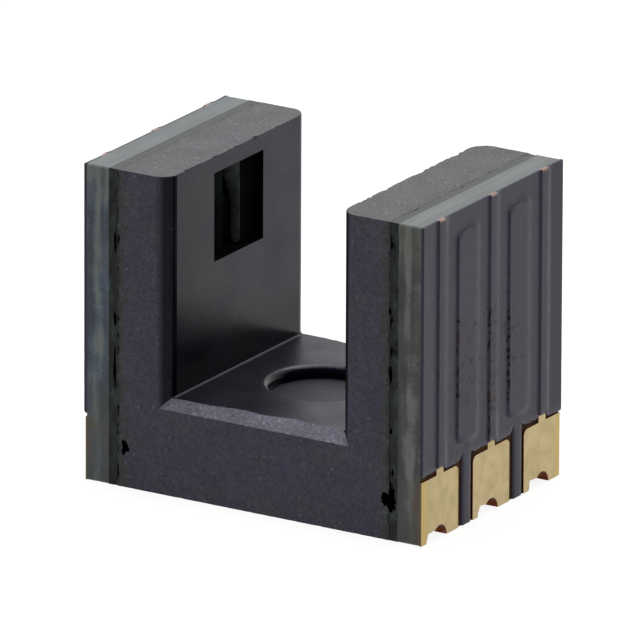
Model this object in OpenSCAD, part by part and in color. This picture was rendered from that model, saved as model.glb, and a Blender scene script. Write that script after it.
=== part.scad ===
// Slot-type transmissive photo sensor for surface mounting.
// A moulded U-shaped housing stands between two etched boards that are bonded to its outer walls.
// The emitter board is on the right (+X) and the detector board on the left (-X).
// Origin: middle of the solder side. +X across the slot, +Y to the rear, +Z up.

/* [Block] */
// Width over the solder resist of both boards
overall_w = 6; // [5.8:0.1:8]
// Depth of the sawn block, front to rear
body_d = 4; // [3.8:0.1:6]
// Height from the solder side to the top
body_h = 5; // [4.6:0.1:7]

/* [Slot] */
// Width of the slot between the towers
slot_w = 3; // [2:0.1:3.2]
// Height of the slot floor above the solder side
slot_floor_z = 1.5; // [1:0.1:2.4]
// Lead-in chamfer on the slot walls, at the front and at the rear
wall_chamfer = 0.18; // [0.06:0.02:0.3]
// Lead-in chamfer on the slot floor, at the front and at the rear
floor_chamfer = 0.15; // [0.05:0.05:0.3]
// Radius where the slot walls meet the floor
slot_root_r = 0.03; // [0.02:0.01:0.1]
// Radius of the round recess in the slot floor
recess_r = 0.8; // [0.4:0.1:1.2]
// Depth of the round recess
recess_depth = 0.2; // [0.16:0.02:0.3]
// Rounding of the lip of the round recess
recess_lip_r = 0.14; // [0.04:0.02:0.18]

/* [Optics] */
// Distance of the optical axis below the top
axis_drop = 0.96; // [0.95:0.01:1.3]
// Width of the window in the wall of the slot
window_w = 1.4; // [0.8:0.1:1.8]
// Height of the window and of the aperture slit
window_h = 1.4; // [0.8:0.1:1.4]
// Depth from the wall of the slot to the web of the aperture
window_depth = 0.14; // [0.06:0.02:0.2]
// Thickness of the web that holds the aperture slit
web_t = 0.2; // [0.1:0.05:0.25]
// Width of the aperture slit
slit_w = 0.5; // [0.2:0.1:0.8]
// Width of the pocket behind the web
pocket_w = 2.1; // [1.8:0.1:2.6]
// Height of the pocket behind the web
pocket_h = 1.5; // [1.4:0.05:1.6]
// Clearance all round between the pocket and the resin block
pot_gap = 0.05; // [0.02:0.01:0.1]
// Clearance between the lens and the web
lens_gap = 0.06; // [0.02:0.02:0.12]
// How far the lens stands out of the resin block
lens_rise = 0.1; // [0.06:0.02:0.14]
// Radius of the rim of the lens
lens_rim_r = 0.5; // [0.3:0.05:0.65]

/* [Boards] */
// Thickness of the glass-epoxy laminate
laminate_t = 0.39; // [0.3:0.01:0.5]
// Thickness of the copper foil on both faces
foil_t = 0.02; // [0.015:0.005:0.035]
// Thickness of the gold finish on the solder pads
gold_t = 0.01; // [0.008:0.002:0.014]
// Thickness of the solder resist where it lies on laminate
resist_t = 0.04; // [0.03:0.005:0.06]
// How much higher the solder resist lies over copper
resist_relief = 0.02; // [0.01:0.005:0.04]
// How far the raised resist spreads past the edge of the copper
resist_spread = 0.025; // [0.01:0.005:0.05]
// Thickness of the adhesive between a board and the housing
adhesive_t = 0.15; // [0.08:0.01:0.2]

/* [Terminals] */
// Width of a solder pad
pad_w = 1.05; // [0.8:0.05:1.1]
// Height of a solder pad
pad_h = 1; // [0.7:0.05:1.2]
// Corner radius of a solder pad
pad_r = 0.1; // [0.04:0.02:0.2]
// Bare laminate beside a pad, between the copper and the resist
pad_side_gap = 0.08; // [0.05:0.01:0.1]
// Bare laminate above a pad, between the copper and the resist
pad_top_gap = 0.12; // [0.06:0.02:0.2]
// Radius of the half hole in the sawn lower edge of a pad
half_hole_r = 0.2; // [0.15:0.05:0.35]
// Copper wall of the half hole
barrel_t = 0.025; // [0.015:0.005:0.05]
// Copper ring round the half hole on the inner face
land_ring = 0.12; // [0.08:0.02:0.2]
// Width of the plating tie bar that runs from a pad to the top edge
tie_w = 0.2; // [0.14:0.02:0.3]
// Width of a copper light shield between two tie bars
shield_w = 0.55; // [0.3:0.05:0.7]
// Corner radius of a light shield
shield_r = 0.12; // [0.04:0.02:0.14]
// Distance from the resist's lower edge to a light shield
shield_foot = 0.2; // [0.1:0.05:0.6]
// Distance from a light shield to the top edge
shield_head = 0.33; // [0.15:0.03:0.6]

/* [Chips] */
// Side of the emitter chip
emitter_chip_w = 0.32; // [0.2:0.02:0.44]
// Thickness of the emitter chip
emitter_chip_t = 0.16; // [0.12:0.02:0.2]
// Side of the detector chip
detector_chip_w = 0.44; // [0.3:0.02:0.48]
// Thickness of the detector chip
detector_chip_t = 0.2; // [0.14:0.02:0.22]
// Side of the copper pad that carries the chip
chip_pad_w = 0.5; // [0.5:0.02:0.56]
// Width of the copper pad that takes the bond wire
bond_pad_w = 0.24; // [0.16:0.02:0.3]
// Gap between the chip's pad and the bond pad
bond_pad_gap = 0.08; // [0.06:0.02:0.14]
// Width of the traces on the inner face
inner_trace_w = 0.2; // [0.1:0.02:0.24]
// Diameter of the bond wire
wire_d = 0.03; // [0.025:0.005:0.04]
// Radius of the ball where the wire is welded to the chip
ball_r = 0.05; // [0.04:0.01:0.07]
// Height of that ball
ball_h = 0.03; // [0.02:0.01:0.04]

/* [Hidden] */
SIDES = ["detector", "emitter"];
PLACES = ["front", "middle", "rear"];
GAPS = ["front", "rear"];

// How far a cutter reaches past the surface that it opens
over = 0.1;
// Facets of a true curve
curve_fn = 48;

// Layers of a board, as distances from the middle plane, from the outside inwards
resist_top_x = overall_w / 2 - resist_relief;
laminate_x = resist_top_x - resist_t;
foil_x = laminate_x + foil_t;
board_x = laminate_x - laminate_t;
inner_foil_x = board_x - foil_t;
bond_x = board_x - adhesive_t;

axis_z = body_h - axis_drop;
web_x = slot_w / 2 + window_depth;
pocket_x = web_x + web_t;
resin_face_x = pocket_x + lens_gap + lens_rise;
resin_w = pocket_w - 2 * pot_gap;
resin_h = pocket_h - 2 * pot_gap;

// The outer pads end flush with the saw cuts, so the pitch follows from the depth
pad_pitch = (body_d - pad_w) / 2;
resist_foot_z = pad_h + pad_top_gap;
resist_finger_w = pad_pitch - pad_w - 2 * pad_side_gap;
shield_z = resist_foot_z + shield_foot;
shield_h = body_h - shield_head - shield_z;
bond_pad_y = chip_pad_w / 2 + bond_pad_gap + bond_pad_w / 2;

function pad_y(place) = (search([place], PLACES)[0] - 1) * pad_pitch;
function shield_y(gap) = (search([gap], GAPS)[0] - 0.5) * pad_pitch;
function chip_w(side) = side == "emitter" ? emitter_chip_w : detector_chip_w;
function chip_t(side) = side == "emitter" ? emitter_chip_t : detector_chip_t;

// Drawn for the right side, and mirrored for the left
module on_side(side) {
  if (side == "emitter") children();
  else mirror([1, 0, 0]) children();
}

// One layer parallel to the boards: a drawing in Y and Z, from x to x + t
module layer(x, t) {
  translate([x, 0, 0]) rotate([90, 0, 90]) linear_extrude(t) children();
}

// Block between the front and rear saw cuts
module sawn_block(x0, x1, z0, z1) {
  translate([x0, -body_d / 2, z0]) cube([x1 - x0, body_d, z1 - z0]);
}

module centred_box(x0, x1, w, z, h) {
  translate([x0, -w / 2, z - h / 2]) cube([x1 - x0, w, h]);
}

module side_outline() {
  translate([-body_d / 2, 0]) square([body_d, body_h]);
}

// Rectangle with round corners, centred on Y and standing on Z = 0
module rounded_rect(w, h, r) {
  translate([-w / 2 + r, 0]) square([w - 2 * r, h]);
  translate([-w / 2, r]) square([w, h - 2 * r]);
  for (y = [-1, 1], z = [r, h - r]) {
    translate([y * (w / 2 - r), z]) circle(r, $fn = curve_fn);
  }
}

// Slot with its two chamfered mouths: a plan and a side profile, crossed
module slot_cutter() {
  half_w = slot_w / 2;
  front = -body_d / 2;
  rear = body_d / 2;
  intersection() {
    linear_extrude(body_h + over) polygon([
      [-half_w - wall_chamfer - over, front - over],
      [half_w + wall_chamfer + over, front - over],
      [half_w, front + wall_chamfer],
      [half_w, rear - wall_chamfer],
      [half_w + wall_chamfer + over, rear + over],
      [-half_w - wall_chamfer - over, rear + over],
      [-half_w, rear - wall_chamfer],
      [-half_w, front + wall_chamfer],
    ]);
    layer(-overall_w / 2, overall_w) polygon([
      [front - over, slot_floor_z - floor_chamfer - over],
      [front + floor_chamfer, slot_floor_z],
      [rear - floor_chamfer, slot_floor_z],
      [rear + over, slot_floor_z - floor_chamfer - over],
      [rear + over, body_h + over],
      [front - over, body_h + over],
    ]);
  }
}

// Round root between one wall of the slot and its floor, clear of the chamfers
module slot_root() {
  chamfer = max(wall_chamfer, floor_chamfer);
  length = body_d - 2 * chamfer;
  translate([-slot_w / 2, body_d / 2 - chamfer, slot_floor_z]) rotate([90, 0, 0])
    linear_extrude(length) difference() {
      square(slot_root_r);
      translate([slot_root_r, slot_root_r]) circle(slot_root_r, $fn = curve_fn);
    }
}

module floor_recess() {
  translate([0, 0, slot_floor_z - recess_depth]) cylinder(recess_depth + over, r = recess_r, $fn = 96);
  translate([0, 0, slot_floor_z]) rotate_extrude($fn = 96) difference() {
    translate([recess_r - over, -recess_lip_r]) square([over + recess_lip_r, recess_lip_r + over]);
    translate([recess_r + recess_lip_r, -recess_lip_r]) circle(recess_lip_r, $fn = curve_fn);
  }
}

// Window, aperture slit and pocket of one tower, one behind the other
module optical_way() {
  centred_box(slot_w / 2 - over, web_x, window_w, axis_z, window_h);
  centred_box(slot_w / 2, pocket_x + over, slit_w, axis_z, window_h);
  centred_box(pocket_x, bond_x + over, pocket_w, axis_z, pocket_h);
}

module housing() {
  color("#37343d") {
    difference() {
      sawn_block(-bond_x, bond_x, 0, body_h);
      slot_cutter();
      floor_recess();
      for (side = SIDES) on_side(side) optical_way();
    }
    slot_root();
    mirror([1, 0, 0]) slot_root();
  }
}

module half_hole_disc(place, r) {
  intersection() {
    translate([pad_y(place), 0]) circle(r, $fn = curve_fn);
    side_outline();
  }
}

// Solder pad: drawn past the saw cuts at both ends of the row, then cut by them
module pad_outline(place) {
  y = pad_y(place);
  spread = y == 0 ? 0 : pad_r;
  intersection() {
    translate([y + sign(y) * spread / 2, -pad_r]) rounded_rect(pad_w + spread, pad_h + pad_r, pad_r);
    side_outline();
  }
}

module tie_outline(place, z0, z1) {
  translate([pad_y(place) - tie_w / 2, z0]) square([tie_w, z1 - z0]);
}

module outer_copper_outline(place) {
  pad_outline(place);
  tie_outline(place, pad_h / 2, body_h);
}

module gold_outline(place) {
  pad_outline(place);
  tie_outline(place, pad_h / 2, resist_foot_z);
}

module shield_outline(gap, spread) {
  translate([shield_y(gap), shield_z - spread])
    rounded_rect(shield_w + 2 * spread, shield_h + 2 * spread, shield_r + spread);
}

// Copper on the inner face: a ring at every half hole, the chip's pad on the middle
// conductor and the bond pad on the rear one
module inner_copper_outline(place) {
  half_hole_disc(place, half_hole_r + land_ring);
  if (place == "middle") {
    translate([-inner_trace_w / 2, half_hole_r]) square([inner_trace_w, axis_z - half_hole_r]);
    translate([-chip_pad_w / 2, axis_z - chip_pad_w / 2]) square(chip_pad_w);
  }
  if (place == "rear") {
    y = pad_y(place);
    top_z = axis_z + inner_trace_w / 2;
    translate([y - inner_trace_w / 2, half_hole_r]) square([inner_trace_w, top_z - half_hole_r]);
    translate([bond_pad_y, axis_z - inner_trace_w / 2]) square([y - bond_pad_y, inner_trace_w]);
    translate([bond_pad_y - bond_pad_w / 2, axis_z - chip_pad_w / 2]) square([bond_pad_w, chip_pad_w]);
  }
}

// Pad, tie bar, half-hole wall and inner trace: one piece of plated copper
module conductor(side, place) {
  color("#b4673a") on_side(side) difference() {
    union() {
      layer(inner_foil_x, foil_t) inner_copper_outline(place);
      layer(board_x, laminate_t) half_hole_disc(place, half_hole_r + barrel_t);
      layer(laminate_x, foil_t) outer_copper_outline(place);
    }
    layer(inner_foil_x - over, foil_x - inner_foil_x + 2 * over)
      translate([pad_y(place), 0]) circle(half_hole_r, $fn = curve_fn);
  }
}

module pad_gold(side, place) {
  color("#c9a85c") on_side(side) layer(foil_x, gold_t) difference() {
    gold_outline(place);
    translate([pad_y(place), 0]) circle(half_hole_r, $fn = curve_fn);
  }
}

module shield(side, gap) {
  color("#b4673a") on_side(side) layer(laminate_x, foil_t) shield_outline(gap, 0);
}

module board(side) {
  color("#66756f") on_side(side) layer(board_x, laminate_t) difference() {
    side_outline();
    for (place = PLACES) half_hole_disc(place, half_hole_r + barrel_t);
  }
}

// Resist over the whole face above the pads, with a finger down between each two
module resist_outline() {
  translate([-body_d / 2, resist_foot_z]) square([body_d, body_h - resist_foot_z]);
  for (gap = GAPS) {
    translate([shield_y(gap) - resist_finger_w / 2, 0]) square([resist_finger_w, resist_foot_z]);
  }
}

// The film levels out over bare laminate and stands a little proud over the copper
module resist(side) {
  tie_ridge_w = tie_w + 2 * resist_spread;
  color("#4a4750") on_side(side) {
    layer(laminate_x, foil_t) difference() {
      resist_outline();
      for (place = PLACES) outer_copper_outline(place);
      for (gap = GAPS) shield_outline(gap, 0);
    }
    layer(foil_x, resist_t - foil_t) resist_outline();
    layer(resist_top_x, resist_relief) {
      for (gap = GAPS) shield_outline(gap, resist_spread);
      for (place = PLACES) {
        translate([pad_y(place) - tie_ridge_w / 2, resist_foot_z])
          square([tie_ridge_w, body_h - resist_foot_z]);
      }
    }
  }
}

// Fills the joint between housing and board, and stops round the pocket and the resin block
module adhesive(side) {
  color("#1f2622") on_side(side) difference() {
    layer(bond_x, adhesive_t) difference() {
      side_outline();
      translate([0, axis_z]) square([pocket_w, pocket_h], center = true);
    }
    for (place = PLACES) layer(inner_foil_x, foil_t + over) inner_copper_outline(place);
  }
}

module chip(side) {
  w = chip_w(side);
  t = chip_t(side);
  color("#2c3038") on_side(side) centred_box(inner_foil_x - t, inner_foil_x, w, axis_z, w);
}

// Half circle of wire from the ball on the chip to the weld on the bond pad
module bond_wire(side) {
  ball_x = inner_foil_x - chip_t(side) - ball_h;
  weld_x = inner_foil_x - ball_h;
  span = norm([weld_x - ball_x, bond_pad_y]);
  lean = atan2(bond_pad_y, weld_x - ball_x);
  color("#d8b24a") on_side(side) {
    translate([ball_x, 0, axis_z]) rotate([0, 90, 0]) cylinder(ball_h, r = ball_r, $fn = curve_fn);
    translate([weld_x, bond_pad_y, axis_z]) rotate([0, 90, 0]) cylinder(ball_h, r = ball_r, $fn = curve_fn);
    translate([(ball_x + weld_x) / 2, bond_pad_y / 2, axis_z]) rotate([0, 0, lean])
      rotate_extrude(angle = 180, $fn = curve_fn) translate([span / 2, 0]) circle(wire_d / 2, $fn = 24);
  }
}

// Clear resin moulded over the chip and the wire, with a shallow lens towards the slit
module resin(side) {
  lens_r = (lens_rim_r * lens_rim_r + lens_rise * lens_rise) / (2 * lens_rise);
  difference() {
    color("#7f8f86") on_side(side) {
      centred_box(resin_face_x, board_x, resin_w, axis_z, resin_h);
      translate([0, 0, axis_z]) intersection() {
        translate([resin_face_x - lens_rise + lens_r, 0, 0]) sphere(lens_r, $fn = 96);
        translate([resin_face_x - lens_rise, 0, 0]) rotate([0, 90, 0])
          cylinder(lens_rise + over, r = lens_rim_r, $fn = 96);
      }
    }
    on_side(side) for (place = PLACES) layer(inner_foil_x, foil_t + over) inner_copper_outline(place);
    chip(side);
    bond_wire(side);
  }
}

housing();
for (side = SIDES) {
  board(side);
  resist(side);
  adhesive(side);
  chip(side);
  bond_wire(side);
  resin(side);
  for (place = PLACES) {
    conductor(side, place);
    pad_gold(side, place);
  }
  for (gap = GAPS) {
    shield(side, gap);
  }
}
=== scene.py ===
"""Looks of a slot-type photo sensor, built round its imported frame.

The block is one piece sawn out of a panel: a moulded housing between two etched boards. Sizes are written in
millimetres and turned to metres by MM where a mesh or a shader takes them.
"""

import logging
import math
from dataclasses import dataclass
from enum import Enum
from typing import Callable, Iterable, Sequence

import bmesh
import bpy
from mathutils import Matrix, Vector, noise

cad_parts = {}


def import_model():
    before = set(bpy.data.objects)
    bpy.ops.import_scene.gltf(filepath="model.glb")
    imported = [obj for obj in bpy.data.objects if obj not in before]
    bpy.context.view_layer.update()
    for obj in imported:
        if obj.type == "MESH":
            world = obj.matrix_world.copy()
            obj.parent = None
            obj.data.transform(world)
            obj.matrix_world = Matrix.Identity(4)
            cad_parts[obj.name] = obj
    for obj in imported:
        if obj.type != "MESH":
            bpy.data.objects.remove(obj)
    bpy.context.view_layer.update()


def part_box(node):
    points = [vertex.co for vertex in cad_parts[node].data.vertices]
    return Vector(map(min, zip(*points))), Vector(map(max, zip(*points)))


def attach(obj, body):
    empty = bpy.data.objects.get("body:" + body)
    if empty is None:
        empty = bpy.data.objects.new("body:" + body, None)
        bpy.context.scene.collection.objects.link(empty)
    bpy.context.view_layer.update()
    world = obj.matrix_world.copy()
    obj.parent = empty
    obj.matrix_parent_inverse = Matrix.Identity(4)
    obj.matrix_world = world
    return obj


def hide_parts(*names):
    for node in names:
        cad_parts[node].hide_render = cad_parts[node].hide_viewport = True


MM = 0.001
IMAGE_PX = 640
LOG = logging.getLogger("photo_sensor")

# A face of more square millimetres than this is shaded flat
LARGE_FACE = 0.1
# Tolerances in millimetres, a fine and a coarse one, within which two places count as one
SAME = 1e-4
NEAR = 1e-3
# Welding distances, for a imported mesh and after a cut, and the turn up to which two faces of a solid are one
WELD = 0.0004
CUT_WELD = 0.0002
FLAT_DEG = 0.4
# An edge that turns more than this can be broken, and two faces whose normals agree this far lie in line
CONVEX_DEG = 25
IN_LINE = 0.999
# Ends of a map: nearly all values of a noise texture lie in SPREAD, and FADE turns what grows to what fades
SPREAD = {"From Min": 0.3, "From Max": 0.7}
FADE = {"To Min": 1.0, "To Max": 0.0}
# Index of refraction of the black polymer and the resist, of the laminate's epoxy and of the clear epoxy
POLYMER_IOR = 1.5
LAMINATE_IOR = 1.52
EPOXY_IOR = 1.54

Colour = tuple[float, float, float, float]
Node = bpy.types.Node
Socket = bpy.types.NodeSocket
Tree = bpy.types.NodeTree


class Side(Enum):
    """The two boards, and the direction in X that each one faces."""

    DETECTOR = -1
    EMITTER = 1

    @property
    def prefix(self) -> str:
        """Start of the names of this side's nodes."""
        return self.name.lower()


class Place(Enum):
    """A terminal's place in its row."""

    FRONT = "front"
    MIDDLE = "middle"
    REAR = "rear"


class Gap(Enum):
    """A space between two terminals, which holds a light shield."""

    FRONT = "front"
    REAR = "rear"


def linear(hex_colour: str) -> Colour:
    """Turns an sRGB hex value to linear colour.

    Args:
        hex_colour: six hex digits, such as "37343d".

    Returns:
        Linear red, green and blue, with an alpha of 1.
    """
    channels = [int(hex_colour[i : i + 2], 16) / 255 for i in (0, 2, 4)]
    r, g, b = (((c + 0.055) / 1.055) ** 2.4 if c > 0.04045 else c / 12.92 for c in channels)
    return (r, g, b, 1.0)


def in_use(sockets: Iterable[Socket], name: str = "") -> Socket:
    """The first socket of this name, or of any, that the node's settings leave in use."""
    return next(s for s in sockets if s.enabled and name in ("", s.name))


def add(tree: Tree, kind: str, inputs: dict | None = None, stops: Sequence[tuple[float, Colour]] = (),
        **settings) -> Node:
    """Adds a shader node with its settings and links.

    Args:
        tree: the node tree that takes it.
        kind: Blender's name of the node's type, without "ShaderNode".
        inputs: socket name or number to a constant, to the output that feeds it, or to a node whose first
            output in use feeds it.
        stops: position and linear colour of each stop, for a colour ramp.
        settings: the node's own properties.

    Returns:
        The new node.
    """
    node = tree.nodes.new("ShaderNode" + kind)
    for name, value in settings.items():
        setattr(node, name, value)
    for name, value in (inputs or {}).items():
        socket = node.inputs[name] if isinstance(name, int) else in_use(node.inputs, name)
        source = in_use(value.outputs) if isinstance(value, Node) else value
        if isinstance(source, Socket):
            tree.links.new(source, socket)
        else:
            socket.default_value = source
    for order, (position, colour) in enumerate(stops):
        elements = node.color_ramp.elements
        element = elements[order] if order < len(elements) else elements.new(position)
        element.position = position
        element.color = colour
    return node


def per_mm(size: float) -> float:
    """Scale of a pattern whose grain measures this many millimetres."""
    return 1 / (size * MM)


class Spot:
    """What a shader can tell of the point that it shades: its place on the object, and which way it faces."""

    def __init__(self, tree: Tree) -> None:
        """Adds the nodes that give both."""
        self.place = add(tree, "TexCoord").outputs["Object"]
        self.x, self.y, self.z = add(tree, "SeparateXYZ", {"Vector": self.place}).outputs
        normal = add(tree, "NewGeometry").outputs["Normal"]
        self.facing_x, self.facing_y, self.facing_z = add(tree, "SeparateXYZ", {"Vector": normal}).outputs


def layered(tree: Tree, under: Colour | Node, *layers: tuple[Node, Colour | Node]) -> Node:
    """Lays colours over one another.

    Args:
        tree: the node tree that takes the mixes.
        under: the lowest colour.
        layers: for each layer over it, how much it covers and its colour.

    Returns:
        What shows on top.
    """
    for share, colour in layers:
        under = add(tree, "Mix", {"Factor": share, "A": under, "B": colour}, data_type="RGBA")
    return under


def grains(tree: Tree, spot: Spot, size_mm: float, share: float, reach: float) -> Node:
    """Scatters grains of a mineral filler.

    Args:
        tree: the node tree that takes them.
        spot: the point that is shaded.
        size_mm: distance between two grains' middles.
        share: how many of them show.
        reach: where a grain ends, as a share of that distance.

    Returns:
        Up to 1 in the middle of a grain, 0 between grains.
    """
    cells = add(tree, "TexVoronoi", {"Vector": spot.place, "Scale": per_mm(size_mm)})
    lot = add(tree, "SeparateColor", {"Color": cells.outputs["Color"]})
    chosen = add(tree, "MapRange", {"Value": lot.outputs["Red"], "From Min": 1 - share, "From Max": 1.0})
    near = add(tree, "MapRange", {"Value": cells.outputs["Distance"], "From Min": 0.05, "From Max": reach,
                                  **FADE})
    return add(tree, "Math", {0: chosen, 1: near}, operation="MULTIPLY")


@dataclass(frozen=True)
class Finish:
    """What all finishes share: a material made once, by name."""

    name: str

    def material(self) -> bpy.types.Material:
        """Returns the material, which is made on the first call."""
        found = bpy.data.materials.get(self.name)
        if found:
            return found
        made = bpy.data.materials.new(self.name)
        made.use_nodes = True
        made.node_tree.nodes.clear()
        add(made.node_tree, "OutputMaterial", {"Surface": self.shader(made.node_tree)})
        return made

    def shader(self, tree: Tree) -> Node:
        """Builds the surface; each finish has its own."""
        raise NotImplementedError


@dataclass(frozen=True)
class MouldedPolymer(Finish):
    """Black liquid-crystal polymer as moulded: a smooth satin skin, almost black with a violet cast.

    What it shows is mostly the blurred reflection of its surroundings, with a slow drift in tone and gloss, a
    fine mottle, and here and there a pale grain of the mineral filler. Low on the slot's side walls the skin
    is sleeker, and a dark specular tint paints shade there, strongest low in the slot and a little towards the
    front. A face counts as a side wall if it faces sideways by more than shade_facing: -2 takes in every face,
    2 none.
    """

    body_hex: str = "0d0b17"
    cast_hex: str = "eee3fa"
    roughness: float = 0.4
    specular: float = 0.38
    grain_mm: float = 0.06
    relief_mm: float = 0.004
    mottle: float = 0.34
    drift_mm: float = 0.7
    tone_drift: float = 0.5
    gloss_drift: float = 0.06
    speck_hex: str = "4a4854"
    speck_mm: float = 0.11
    speck_share: float = 0.15
    speck_reach: float = 0.3
    sleek: float = 0.2
    shade_tint_hex: str = "2a273a"
    shade_from_mm: float = 1.7
    shade_to_mm: float = 2.9
    shade_front_mm: float = -1.8
    shade_rear_mm: float = 0.4
    shade_front: float = 0.45
    shade_facing: float = 0.8
    shade_turn: float = 0.15

    def shader(self, tree: Tree) -> Node:
        """Builds the skin."""
        spot = Spot(tree)
        grain = add(tree, "TexNoise", {"Vector": spot.place, "Scale": per_mm(self.grain_mm), "Detail": 3.0})
        drift = add(tree, "TexNoise", {"Vector": spot.place, "Scale": per_mm(self.drift_mm), "Detail": 5.0})
        shade = add(tree, "MapRange", {"Value": drift, **SPREAD, "To Min": 1 - self.tone_drift,
                                       "To Max": 1 + self.tone_drift})
        base = add(tree, "VectorMath", {0: linear(self.body_hex)[:3], "Scale": shade}, operation="SCALE")
        speck = grains(tree, spot, self.speck_mm, self.speck_share, self.speck_reach)
        # dull: mask of the painted shade tint and of the sleeker gloss
        dull = self.shade_and_sleek_mask(tree, spot)
        fine = add(tree, "MapRange", {"Value": grain, "From Min": 0.48, "From Max": 0.68,
                                      "To Max": self.mottle})
        shade_and_mottle = add(tree, "Math", {0: dull, 1: fine}, operation="ADD", use_clamp=True)
        gloss = add(tree, "MapRange", {"Value": drift, **SPREAD, "To Min": self.roughness - self.gloss_drift,
                                       "To Max": self.roughness + self.gloss_drift})
        rough = add(tree, "Mix", {"Factor": dull, "A": gloss, "B": min(self.roughness, self.sleek)})
        bump = add(tree, "Bump", {"Height": grain, "Strength": 0.3, "Distance": self.relief_mm * MM})
        # The Specular Tint carries painted shade, darkest low on the side walls and towards the front
        return add(tree, "BsdfPrincipled", {
            "Base Color": layered(tree, base, (speck, linear(self.speck_hex))),
            "Specular Tint": layered(tree, linear(self.cast_hex), (shade_and_mottle, linear(self.shade_tint_hex))),
            "Roughness": rough, "IOR": POLYMER_IOR, "Specular IOR Level": self.specular, "Normal": bump,
        })

    def shade_and_sleek_mask(self, tree: Tree, spot: Spot) -> Node:
        """Where the painted shade and the sleeker gloss lie: 1 low on a side wall, and shade_front at the front
        of it.
        """
        sideways = add(tree, "Math", {0: spot.facing_x}, operation="ABSOLUTE")
        on_wall = add(tree, "MapRange", {"Value": sideways, "From Min": self.shade_facing,
                                         "From Max": self.shade_facing + self.shade_turn})
        low = add(tree, "MapRange", {"Value": spot.z, "From Min": self.shade_from_mm * MM,
                                     "From Max": self.shade_to_mm * MM, **FADE},
                  interpolation_type="SMOOTHSTEP")
        front = add(tree, "MapRange", {"Value": spot.y, "From Min": self.shade_front_mm * MM,
                                       "From Max": self.shade_rear_mm * MM, "To Min": self.shade_front,
                                       "To Max": 0.0})
        most = add(tree, "Math", {0: low, 1: front}, operation="MAXIMUM")
        return add(tree, "Math", {0: most, 1: on_wall}, operation="MULTIPLY")


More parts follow.
